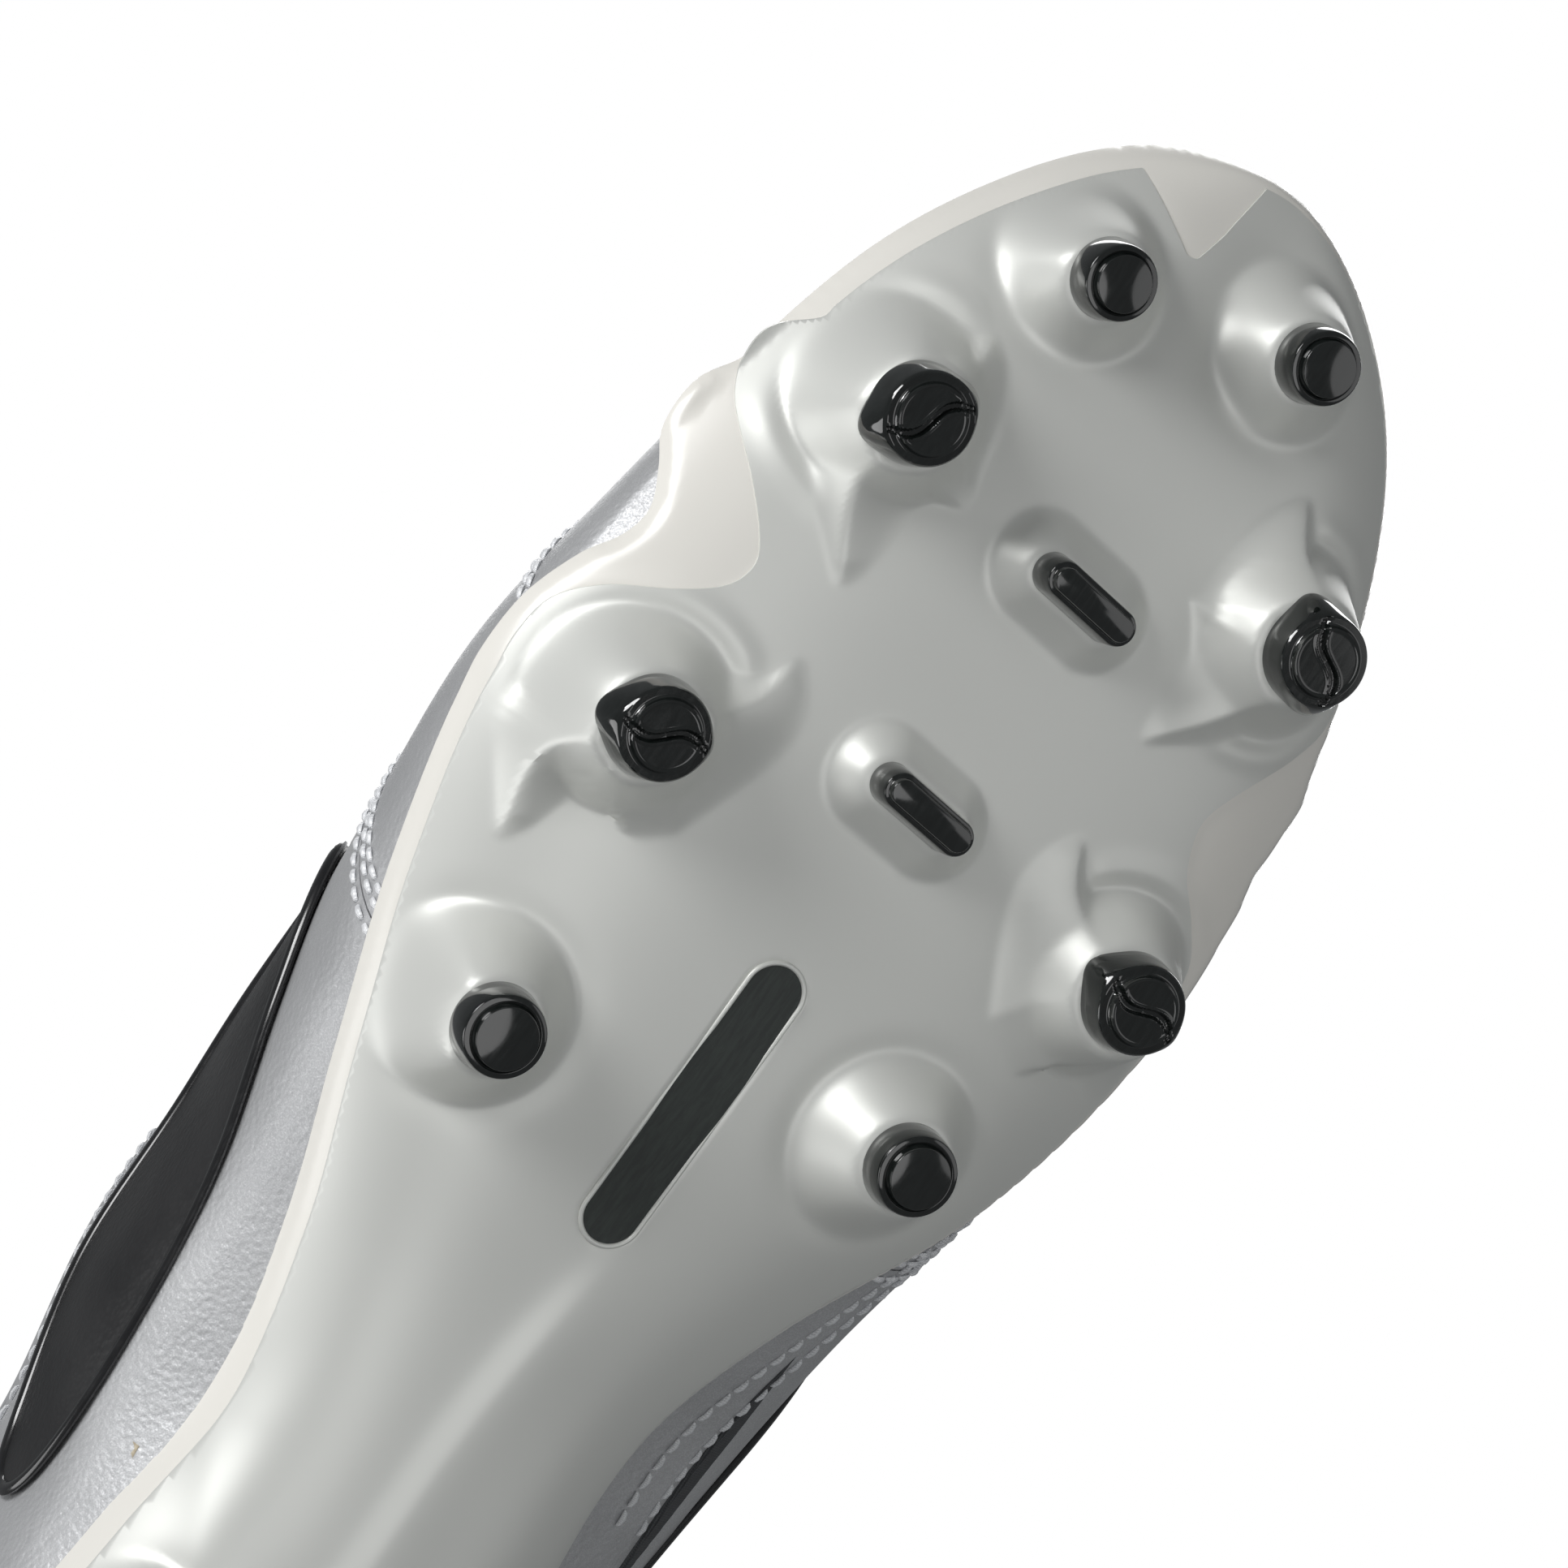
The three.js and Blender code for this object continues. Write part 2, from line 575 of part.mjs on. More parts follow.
// The throat between the eyelet rows, from above, with a round front.
function throatPrism(extra, from = 60) {
  const reach = throatHalf(THROAT_END) + extra;
  const front = THROAT_END + extra - reach;
  const corners = [];
  for (let i = 1; i < 6; i += 1) {
    const turn = (Math.PI * i) / 6;
    corners.push([spine(THROAT_END) + reach * Math.cos(turn), front + reach * Math.sin(turn)]);
  }
  const places = [from, 95, 120, 145, 165];
  places.reverse().forEach((t) => corners.unshift([spine(t) + throatHalf(t) + extra, t]));
  places.forEach((t) => corners.push([spine(t) - throatHalf(t) - extra, t]));
  return planPrism(corners, 40, FAR);
}

// One layer of the closed form, standing on the sole at a height and open at the throat.
function layer(face, thickness, base, throat = 0) {
  const hollow = form(face + thickness);
  return form(face).subtract(hollow).subtract(soleZone(base)).subtract(throatPrism(throat));
}

const above = aboveLine(0);
const leather = layer(0, LEATHER, UPPER_SEAT).subtract(above);
const middle = layer(MIDDLE_FACE, MIDDLE, SOCK_BASE).subtract(above);
const overlay = layer(-GAP - OVERLAY, OVERLAY, UPPER_SEAT).subtract(above);
const textile = layer(LINING_FACE, LINING, SOCK_BASE, LINING_BACK).subtract(above);

const vamp = () => leather.intersect(aheadOf(VAMP_SEAM, GAP / 2));
const heelCover = () => leather.intersect(behind(HEEL_SEAM, GAP / 2));
const quarter = (side) =>
  leather
    .intersect(behind(VAMP_SEAM, GAP / 2))
    .intersect(aheadOf(HEEL_SEAM, GAP / 2))
    .intersect(sideHalf(side));
const toePuff = () => middle.intersect(aheadOf([[TOE_PUFF_FROM, -20], [TOE_PUFF_FROM, 160]], 0));
const collarZone = (gap) => aboveLine(COLLAR_DEPTH + gap);
const heelStiffener = () => {
  const front = [[STIFFENER_REACH, -20], [STIFFENER_REACH - 12, 38], [STIFFENER_REACH - 34, 52]];
  return middle.subtract(collarZone(0)).intersect(behind(front, 0));
};
const collarFoam = () => middle.intersect(collarZone(-GAP)).intersect(behind(VAMP_SEAM, 20));
const vampLining = () => textile.intersect(aheadOf(VAMP_SEAM, GAP / 2));
const quarterLining = () => textile.intersect(behind(VAMP_SEAM, GAP / 2));
function inWalls(inset) {
  const margin = (inset + GAP) / SEAT + (1 - SEAT) * HALF_BALL + EASE;
  return outlinePrism(inset + EASE, (at) => insideEdges(at, margin), 20);
}
const board = () => soleSheet(UPPER_SEAT, BOARD_TOP).intersect(inWalls(MIDDLE_FACE));
const sockliner = () => soleSheet(SOCK_BASE, SOCK_BASE + SOCKLINER).intersect(inWalls(SOCK_EDGE));

// The eyelet strip on one side of the throat.
function eyestay(side) {
  const places = [EYESTAY_FROM, 132, 150, 166, THROAT_END - 3];
  const line = (distance) => places.map((t) => [spine(t) + side * (throatHalf(t) + distance), t]);
  const plan = planPrism([...line(1), ...line(1 + EYESTAY_WIDTH).reverse()], 40, FAR);
  const back = EYESTAY_FROM - 5;
  const upperPart = sidePrism([[back, 200], [back, 74], [THROAT_END, 50], [THROAT_END, 200]]);
  return overlay.intersect(plan).intersect(upperPart);
}

// A rounded panel on a side wall, rising from the heel quarter to the throat.
function sidePanel(side) {
  const outline = new THREE.Shape();
  const middleT = (PANEL_FROM + PANEL_TO) / 2;
  const halfLength = (PANEL_TO - PANEL_FROM) / 2;
  outline.absellipse(middleT, PANEL_HEIGHT, halfLength, PANEL_HALF, 0, 2 * Math.PI, false, PANEL_TILT);
  const corners = outline.getPoints(20).slice(0, -1).map(({ x, y }) => [x, y]);
  return overlay.intersect(sidePrism(corners)).intersect(sideHalf(side));
}

// The tongue lies under the throat and rises past the top of the laces.
function tongue() {
  const box = new THREE.BoxGeometry(1, 1, 1, 8, 12, 1);
  return solid(
    reshaped(box, (v) => {
      const t = THROAT_END + 4 + (TONGUE_TOP - THROAT_END - 4) * (v.y + 0.5);
      const inset = v.z < 0 ? TONGUE_FACE + TONGUE : TONGUE_FACE;
      const at = (t - inset) / (LENGTH - 2 * inset);
      const middle = angleAt(at, spine(t), inset);
      const walk = 2 * v.x * (throatHalf(Math.max(t, EYESTAY_FROM)) + TONGUE_LAP);
      const angle = angleBeyond(at, middle, Math.sign(walk), Math.abs(walk), inset);
      return overPoint(at, angle, inset);
    }),
  );
}

// ---- Lace ---------------------------------------------------------------------------------------

// Row 0 is nearest the toe.
const eyeletT = (row) => TOP_EYELET + EYELET_PITCH * (EYELET_ROWS - 1 - row);
const EYELET_INSET = 6; // from the throat's edge to the middle of an eyelet

// A drill through the eyelet strip, leather and lining, square to the surface.
function eyeletDrill(row, side) {
  const t = eyeletT(row);
  const outside = besideThroat(t, side, EYELET_INSET, -3);
  const inside = besideThroat(t, side, EYELET_INSET, 5.5);
  const drill = new THREE.CylinderGeometry(EYELET_HOLE, EYELET_HOLE, 11, 8);
  const up = new THREE.Vector3(0, 1, 0);
  const axis = outside.clone().sub(inside).normalize();
  drill.applyQuaternion(new THREE.Quaternion().setFromUnitVectors(up, axis));
  const centre = outside.add(inside).multiplyScalar(0.5);
  return solid(drill.translate(centre.x, centre.y, centre.z));
}

const drills = [];
for (let row = 0; row < EYELET_ROWS; row += 1) {
  drills.push(eyeletDrill(row, -1), eyeletDrill(row, 1));
}
const drilled = (body) => drills.reduce((rest, drill) => rest.subtract(drill), body);

// Depths of the lace below the outer face of the leather.
const OVER = -GAP - OVERLAY - LACE / 2 - 0.9;
const UNDER = CAVITY_FACE + GAP + LACE / 2 + 0.15;
const CROSS_HIGH = -0.5;
const CROSS_LOW = 2.6;
const TUCKED = TONGUE_FACE - GAP - LACE / 2;
const AGLET = 16;
const TAIL = 22; // tucked length of each end before its aglet

// A place across the throat: share runs from -1 at its lateral edge to 1 at its medial edge.
const acrossThroat = (t, share, inset) => onUpper(t, spine(t) + share * throatHalf(t), inset);

// One side's run from the bottom bar to its last eyelet, as points in order.
function laceRun(start) {
  const points = [];
  let side = start;
  for (let row = 0; row < EYELET_ROWS; row += 1) {
    const t = eyeletT(row);
    const hole = (inset) => besideThroat(t, side, EYELET_INSET, inset);
    points.push(hole(UNDER), hole(OVER));
    if (row === EYELET_ROWS - 1) break;
    const next = eyeletT(row + 1);
    points.push(acrossThroat(t - 2, side * 0.95, OVER + 0.4));
    points.push(acrossThroat((t + next) / 2, 0, start < 0 ? CROSS_HIGH : CROSS_LOW));
    points.push(acrossThroat(next + 2, -side * 0.8, UNDER - 0.4));
    side = -side;
  }
  return { points, side };
}

// From the last eyelet back into the throat and down along the tongue, under the crossings.
function laceTail(side) {
  const t = eyeletT(EYELET_ROWS - 1);
  return [
    acrossThroat(t - 1, side * 0.9, OVER + 1.2),
    acrossThroat(t + 1, side * 0.45, TUCKED - 2.5),
    acrossThroat(t + 10, side * 0.3, TUCKED),
    acrossThroat(t + TAIL, side * 0.3, TUCKED),
  ];
}

function lacePath() {
  const left = laceRun(-1);
  const right = laceRun(1);
  const bar = [acrossThroat(eyeletT(0), 0, UNDER - 0.5)];
  const leftHalf = [...left.points, ...laceTail(left.side)].reverse();
  const points = [...leftHalf, ...bar, ...right.points, ...laceTail(right.side)];
  return new THREE.CatmullRomCurve3(points, false, "centripetal");
}

function lace() {
  const section = new THREE.Shape();
  for (let i = 0; i < 8; i += 1) {
    const turn = (Math.PI * (2 * i + 1)) / 8;
    const [x, y] = [(LACE / 2) * Math.cos(turn), (LACE / 2) * Math.sin(turn)];
    if (i === 0) section.moveTo(x, y);
    else section.lineTo(x, y);
  }
  section.closePath();
  const settings = { steps: 72, extrudePath: lacePath(), bevelEnabled: false };
  return solid(new THREE.ExtrudeGeometry(section, settings));
}

// The sleeve on a tucked end of the lace.
function aglet(side) {
  const t = eyeletT(EYELET_ROWS - 1) + TAIL + GAP;
  const from = acrossThroat(t, side * 0.3, TUCKED);
  const to = acrossThroat(t + AGLET, side * 0.3, TUCKED);
  const body = new THREE.CylinderGeometry(LACE / 2 + 0.1, LACE / 2 + 0.1, AGLET, 10);
  const axis = to.clone().sub(from).normalize();
  body.applyQuaternion(new THREE.Quaternion().setFromUnitVectors(new THREE.Vector3(0, 1, 0), axis));
  const centre = from.add(to).multiplyScalar(0.5);
  return solid(body.translate(centre.x, centre.y, centre.z));
}

// ---- Assembly -----------------------------------------------------------------------------------

const boot = new THREE.Group();

function addPart(name, body, finish) {
  const { vertProperties, triVerts } = body.getMesh();
  const geometry = new THREE.BufferGeometry();
  geometry.setAttribute("position", new THREE.BufferAttribute(Float32Array.from(vertProperties), 3));
  geometry.setIndex(new THREE.BufferAttribute(Uint32Array.from(triVerts), 1));
  geometry.computeVertexNormals();
  const mesh = new THREE.Mesh(geometry, new THREE.MeshStandardMaterial(FINISH[finish]));
  mesh.name = name;
  boot.add(mesh);
}

addPart("sole_film", soleFilm(), "film");
addPart("outsole_plate", solePlate(), "clear");
addPart("sole_inlay", soleInlay(), "inlay");
Object.entries(STUDS).forEach(([name, stud]) => addPart(name, studTip(stud), "black"));
addPart("lasting_board", board(), "board");
addPart("sockliner", sockliner(), "foam");
addPart("vamp", drilled(vamp()), "leather");
addPart("lateral_quarter", drilled(quarter(-1)), "leather");
addPart("medial_quarter", drilled(quarter(1)), "leather");
addPart("heel_cover", heelCover(), "leather");
addPart("toe_puff", toePuff(), "foam");
addPart("heel_stiffener", heelStiffener(), "board");
addPart("collar_foam", collarFoam(), "foam");
addPart("vamp_lining", vampLining(), "lining");
addPart("quarter_lining", quarterLining(), "lining");
addPart("lateral_eyestay", drilled(eyestay(-1)), "overlay");
addPart("medial_eyestay", drilled(eyestay(1)), "overlay");
addPart("lateral_side_panel", sidePanel(-1), "panel");
addPart("medial_side_panel", sidePanel(1), "panel");
addPart("tongue", tongue(), "lining");
addPart("lace", lace(), "lace");
addPart("lateral_aglet", aglet(-1), "clear");
addPart("medial_aglet", aglet(1), "clear");

// The boot's own frame: the middle of its box, on the surface it stands on.
const box = new THREE.Box3().setFromObject(boot);
const centre = box.getCenter(new THREE.Vector3());
boot.position.set(-centre.x, -centre.y, -box.min.z);

export default boot;
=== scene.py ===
"""Right-foot firm-ground football boot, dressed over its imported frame.

Boot coordinates are millimetres: x towards the medial side, t forward from the heel, z up.
"""
from __future__ import annotations

import logging
import math
from dataclasses import dataclass, field
from enum import Enum
from typing import Callable, Sequence

import bmesh
import bpy
import numpy as np
from mathutils import Matrix, Vector

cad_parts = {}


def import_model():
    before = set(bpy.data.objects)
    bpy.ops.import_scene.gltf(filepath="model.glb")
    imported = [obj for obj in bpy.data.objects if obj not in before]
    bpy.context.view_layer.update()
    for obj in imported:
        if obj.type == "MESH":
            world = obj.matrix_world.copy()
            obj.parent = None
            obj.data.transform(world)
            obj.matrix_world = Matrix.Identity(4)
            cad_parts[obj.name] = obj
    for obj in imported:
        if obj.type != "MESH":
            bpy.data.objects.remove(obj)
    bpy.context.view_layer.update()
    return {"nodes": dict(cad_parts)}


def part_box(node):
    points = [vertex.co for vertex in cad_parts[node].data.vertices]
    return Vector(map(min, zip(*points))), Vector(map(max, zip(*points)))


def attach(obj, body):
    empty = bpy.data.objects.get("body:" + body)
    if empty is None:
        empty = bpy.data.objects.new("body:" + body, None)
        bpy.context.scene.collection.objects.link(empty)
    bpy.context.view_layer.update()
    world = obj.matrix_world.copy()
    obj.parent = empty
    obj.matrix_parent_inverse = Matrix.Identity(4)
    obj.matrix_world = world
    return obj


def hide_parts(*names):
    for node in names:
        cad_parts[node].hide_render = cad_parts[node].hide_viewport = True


LOG = logging.getLogger("boot")
Array = np.ndarray

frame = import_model()

# ---- The last: the same sizes and curves as the solids ----

LENGTH = 286.0
HALF_BALL = 52.0
FILM, PLATE, BOARD, SOCKLINER = 0.6, 1.6, 1.6, 3.4
LEATHER, MIDDLE, LINING, OVERLAY, TONGUE, GAP = 1.5, 1.2, 1.0, 0.9, 3.0, 0.3
LACE = 1.8
LACE_ROOM = LACE + 2 * GAP + 0.9
SEAT, FLARE, CUP_POWER = 0.95, 6.0, 4
STUD_TIP = 5.6
PLATE_TOP = FILM + GAP + PLATE
UPPER_SEAT = PLATE_TOP + GAP
SOCK_BASE = UPPER_SEAT + BOARD + GAP
LINING_FACE = LEATHER + GAP + MIDDLE + GAP
CAVITY_FACE = LINING_FACE + LINING
TONGUE_FACE = CAVITY_FACE + LACE_ROOM

KEYS = ("at", "out", "inn", "wide_out", "wide_in", "low", "rim_out", "rim_in", "top")
STATIONS = (
    (0, 0, 0, 0, 0, 24, 30, 30, 80),
    (0.03, 0.43, 0.4, 0.45, 0.42, 17, 27, 27, 100),
    (0.08, 0.59, 0.55, 0.615, 0.585, 13.5, 25.5, 25.5, 114),
    (0.15, 0.625, 0.61, 0.67, 0.675, 12.3, 25, 25, 120),
    (0.22, 0.58, 0.57, 0.69, 0.74, 12.5, 26, 26, 122),
    (0.3, 0.53, 0.5, 0.76, 0.84, 14.5, 27, 27, 119),
    (0.38, 0.615, 0.49, 0.78, 0.885, 16, 27, 26, 109),
    (0.45, 0.755, 0.61, 0.855, 0.91, 15, 26, 24, 97),
    (0.54, 0.925, 0.845, 0.97, 0.945, 12.8, 25, 21.5, 82.5),
    (0.63, 1.025, 0.96, 1.04, 0.975, 12.2, 24.5, 20, 71),
    (0.72, 0.98, 0.975, 0.98, 0.975, 12.4, 24, 20, 62.5),
    (0.8, 0.89, 0.92, 0.885, 0.915, 13.5, 25.5, 22, 57),
    (0.87, 0.76, 0.83, 0.745, 0.82, 16.5, 28, 26, 54),
    (0.93, 0.555, 0.685, 0.545, 0.675, 21.5, 31, 30, 52),
    (0.975, 0.31, 0.465, 0.305, 0.455, 28, 33.5, 33.5, 49),
    (1, -0.08, 0.08, -0.08, 0.08, 33, 35, 35, 44),
)


def hermite(knots: Array, values: Array, x: Array) -> Array:
    """Smooth curve through knots, with slopes taken across each knot's neighbours.

    Args:
        knots: places of the given values, rising.
        values: the values there.
        x: where the curve is wanted.

    Returns:
        The curve's value at each x.
    """
    i = np.clip(np.searchsorted(knots, x, side="left") - 1, 0, len(knots) - 2)
    before, after = np.maximum(i - 1, 0), np.minimum(i + 2, len(knots) - 1)
    step = knots[i + 1] - knots[i]
    slope_a = (values[i + 1] - values[before]) / (knots[i + 1] - knots[before])
    slope_b = (values[after] - values[i]) / (knots[after] - knots[i])
    u = (x - knots[i]) / step
    mix = u * u * (3 - 2 * u)
    curve = values[i] * (1 - mix) + values[i + 1] * mix
    return curve + step * (slope_a * u * (1 - u) ** 2 - slope_b * u * u * (1 - u))


ANGLES = np.linspace(0, math.pi, 4001)
KNOTS = np.arccos(1 - 2 * np.array([row[0] for row in STATIONS]))
TABLE = {k: hermite(KNOTS, np.array([float(r[i]) for r in STATIONS]), ANGLES) for i, k in enumerate(KEYS)}


def station(key: str, at: Array) -> Array:
    """A station curve at a share of the length.

    Args:
        key: name of the curve.
        at: shares of the length.

    Returns:
        The curve's value at each share.
    """
    return np.interp(np.arccos(1 - 2 * np.clip(at, 0, 1)), ANGLES, TABLE[key])


def sole_height(t: Array, x: Array) -> Array:
    """Height of the sole's underside without its studs.

    Args:
        t: distance forward from the heel.
        x: distance towards the medial side.

    Returns:
        Heights above the ground.
    """
    at = np.clip(np.asarray(t) / LENGTH, 0, 1)
    low, out, inn = station("low", at), HALF_BALL * station("out", at), HALF_BALL * station("inn", at)
    share = np.minimum(np.abs((2 * x - inn + out) / np.maximum(inn + out, 1)), 1)
    side = np.where(2 * x < inn - out, station("rim_out", at), station("rim_in", at))
    return low + (side - low) * share**CUP_POWER


def squareness(t: Array) -> Array:
    """How square a section of the upper is."""
    return 2.1 + 0.5 * np.exp(-(((t - 60) / 60) ** 2))


def arch_hollow(t: Array, z: Array) -> Array:
    """How much the medial wall draws in above the arch."""
    rise = np.clip((z - 40) / 40, 0, 1)
    return 0.12 * np.exp(-(((t - 92) / 42) ** 2)) * rise * rise * (3 - 2 * rise)


def ridge(t: Array) -> Array:
    """Medial drift of the upper's ridge."""
    return 3 * np.exp(-(((t - 180) / 60) ** 2))


def spine(t: Array) -> Array:
    """The line over the top of the foot that the throat follows."""
    at = np.asarray(t) / LENGTH
    return HALF_BALL * (station("inn", at) - station("out", at)) / 2 + ridge(t)


def lean(t: Array, z: Array) -> Array:
    """How far the back of the heel leans forward."""
    return 0.0042 * np.maximum(z - 34, 0) ** 2 * np.maximum(1 - t / 90, 0) ** 2


def over_point(at: Array, angle: Array, inset: Array | float) -> Array:
    """Points over the closed upper.

    Args:
        at: shares of the length.
        angle: 0 at the medial seat, pi at the lateral one.
        inset: depth below the outer face.

    Returns:
        An (N, 3) array of x, t, z.
    """
    at, angle = np.broadcast_arrays(np.asarray(at, float), np.asarray(angle, float))
    t = inset + (LENGTH - 2 * inset) * at
    out, inn = HALF_BALL * station("out", at), HALF_BALL * station("inn", at)
    middle = (inn - out) / 2
    reach = np.maximum((inn + out) / 2 * SEAT - inset, 0.3)
    side = np.cos(angle)
    power = 2 / squareness(t)
    rise = np.maximum(np.sin(angle), 0) ** power
    seat_out, seat_in = sole_height(t, middle - reach), sole_height(t, middle + reach)
    seat = (seat_in + seat_out) / 2 + (seat_in - seat_out) / 2 * side + UPPER_SEAT
    z = seat + rise * np.maximum(station("top", at) - inset - seat, 1)
    widest = HALF_BALL * np.where(side < 0, station("wide_out", at), station("wide_in", at))
    widest = widest - np.sign(side) * middle
    drawn = np.where(side > 0, 1 - arch_hollow(t, z), 1)
    wide = np.maximum(widest * drawn - inset, 0.3)
    half = wide + (reach - wide) * np.exp((seat - z) / FLARE)
    x = middle + np.sign(side) * np.abs(side) ** power * half + ridge(t) * rise
    return np.stack([x, t + lean(t, z), z], axis=-1)


def smooth(value: Array, low: float, high: float) -> Array:
    """0 below low, 1 above high, with a soft change between.

    Args:
        value: the values to grade.
        low: where the change starts.
        high: where it ends.

    Returns:
        Shares from 0 to 1.
    """
    u = np.clip((np.asarray(value, float) - low) / (high - low), 0, 1)
    return u * u * (3 - 2 * u)


def spline(points: Sequence[Sequence[float]], steps: int = 8) -> Array:
    """A smooth polyline through control points.

    Args:
        points: the control points.
        steps: how many steps lie between two of them.

    Returns:
        The points of the polyline.
    """
    p = np.array(points, float)
    chord = np.concatenate([[0], np.cumsum(np.linalg.norm(np.diff(p, axis=0), axis=1) ** 0.5)])
    x = np.linspace(0, chord[-1], (len(p) - 1) * steps + 1)
    return np.stack([hermite(chord, p[:, k], x) for k in range(p.shape[1])], axis=-1)


def nearest(points: Array, line: Array) -> tuple[Array, Array]:
    """Signed distance to a polyline (left of its run is positive) and the share along it.

    Args:
        points: places in plan.
        line: the polyline.

    Returns:
        The signed distances and the shares along the line.
    """
    best = np.full(len(points), 1e9)
    signed, along = np.zeros(len(points)), np.zeros(len(points))
    lengths = np.linalg.norm(np.diff(line, axis=0), axis=1)
    run = np.concatenate([[0], np.cumsum(lengths)])
    for i, (a, b) in enumerate(zip(line[:-1], line[1:])):
        d = b - a
        rel = points - a
        u = np.clip(rel @ d / max(d @ d, 1e-9), 0, 1)
        off = rel - u[:, None] * d
        dist = np.hypot(off[:, 0], off[:, 1])
        side = np.sign(d[0] * rel[:, 1] - d[1] * rel[:, 0])
        nearer = dist < best
        best = np.where(nearer, dist, best)
        signed = np.where(nearer, side * dist, signed)
        along = np.where(nearer, run[i] + u * lengths[i], along)
    return signed, along / run[-1]


def inside(points: Array, polygon: Array) -> Array:
    """Distance to a closed outline, positive inside it.

    Args:
        points: places in plan.
        polygon: the outline's corners.

    Returns:
        Signed distances.
    """
    closed = np.vstack([polygon, polygon[:1]])
    dist = np.abs(nearest(points, closed)[0])
    crossings = np.zeros(len(points), int)
    for a, b in zip(closed[:-1], closed[1:]):
        spans = (a[1] > points[:, 1]) != (b[1] > points[:, 1])
        gap = b[1] - a[1] if abs(b[1] - a[1]) > 1e-12 else 1e-12
        reach = a[0] + (points[:, 1] - a[1]) * (b[0] - a[0]) / gap
        crossings += spans & (points[:, 0] < reach)
    return np.where(crossings % 2 == 1, dist, -dist)


def centre_of(node: str) -> Vector:
    """Middle of a solid's box, in millimetres of the frame."""
    low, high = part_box(node)
    return (Vector(low) + Vector(high)) * 500


HOME = centre_of("round_stud_lateral_rear") - Vector((-32.0, -143.5, 0.0))


def world(points: Array) -> Array:
    """Boot millimetres to metres in the frame."""
    p = np.asarray(points, float).reshape(-1, 3)
    return np.stack([p[:, 0] + HOME.x, HOME.y - p[:, 1], p[:, 2]], axis=-1) / 1000


# ---- Sheets ----


@dataclass
class Sheet:
    """An open sheet of polygons in boot millimetres."""

    points: Array
    faces: list[tuple[int, ...]]

    @staticmethod
    def grid(points: Array) -> "Sheet":
        """A sheet over a rows by columns array of points."""
        rows, cols = points.shape[:2]
        faces = [
            (r * cols + c, r * cols + c + 1, (r + 1) * cols + c + 1, (r + 1) * cols + c)
            for r in range(rows - 1)
            for c in range(cols - 1)
        ]
        return Sheet(points.reshape(-1, 3), faces)

    def clip(self, rule: Callable[[Array], Array]) -> "Sheet":
        """Keeps what lies where a rule is positive, with its edge on the rule's zero line.

        Args:
            rule: gives a value for each point.

        Returns:
            The part of the sheet that is kept.
        """
        value = rule(self.points)
        points = list(self.points)
        cuts: dict[tuple[int, int], int] = {}

        def crossing(a: int, b: int) -> int:
            """The point where an edge meets the zero line."""
            key = (min(a, b), max(a, b))
            if key not in cuts:
                u = value[a] / (value[a] - value[b])
                cuts[key] = len(points)
                points.append(self.points[a] * (1 - u) + self.points[b] * u)
            return cuts[key]

        faces: list[tuple[int, ...]] = []
        keep = value >= 0
        for face in self.faces:
            inner = [keep[i] for i in face]
            if all(inner):
                faces.append(face)
                continue
            if not any(inner):
                continue
            ring: list[int] = []
            for k, i in enumerate(face):
                j = face[(k + 1) % len(face)]
                if keep[i]:
                    ring.append(i)
                if keep[i] != keep[j]:
                    ring.append(crossing(i, j))
            if len(ring) > 2:
                faces.append(tuple(ring))
        used = sorted({i for f in faces for i in f})
        place = {i: k for k, i in enumerate(used)}
        return Sheet(np.array([points[i] for i in used]), [tuple(place[i] for i in f) for f in faces])

    def facing(self, core: Array) -> "Sheet":
        """The same sheet with its faces turned away from a core point or line of points.

        Args:
            core: a point, or one point for each of the sheet's own.

        Returns:
            The sheet with its faces turned.
        """
        if not self.faces:
            return self
        p = world(self.points)
        c = world(np.broadcast_to(core, self.points.shape))
        total = 0.0
        for f in self.faces[:: max(1, len(self.faces) // 4000)]:
            n = np.cross(p[f[1]] - p[f[0]], p[f[2]] - p[f[0]])
            total += float(n @ (p[f[0]] - c[f[0]]))
        faces = self.faces if total > 0 else [f[::-1] for f in self.faces]
        return Sheet(self.points, faces)


def apply(obj: bpy.types.Object, kind: str, **values: object) -> None:
    """Adds a modifier to an object and applies it.

    Args:
        obj: the object.
        kind: the modifier's type.
        **values: its settings.
    """
    bpy.ops.object.select_all(action="DESELECT")
    obj.select_set(True)
    bpy.context.view_layer.objects.active = obj
    mod = obj.modifiers.new(kind.lower(), kind)
    for key, value in values.items():
        setattr(mod, key, value)
    bpy.ops.object.modifier_apply(modifier=mod.name)


def finish_mesh(obj: bpy.types.Object, angle: float = 40.0, outward: bool = False) -> bpy.types.Object:
    """Merges doubles, turns the faces out where asked, and smooths by angle.

    Args:
        obj: the object.
        angle: edges under this many degrees are smooth.
        outward: whether to turn the faces out.

    Returns:
        The same object.
    """
    work = bmesh.new()
    work.from_mesh(obj.data)
    bmesh.ops.remove_doubles(work, verts=work.verts, dist=2e-6)
    if outward:
        bmesh.ops.recalc_face_normals(work, faces=work.faces)
    work.to_mesh(obj.data)
    work.free()
    bpy.ops.object.select_all(action="DESELECT")
    obj.select_set(True)
    bpy.context.view_layer.objects.active = obj
    bpy.ops.object.shade_smooth_by_angle(angle=math.radians(angle))
    return obj


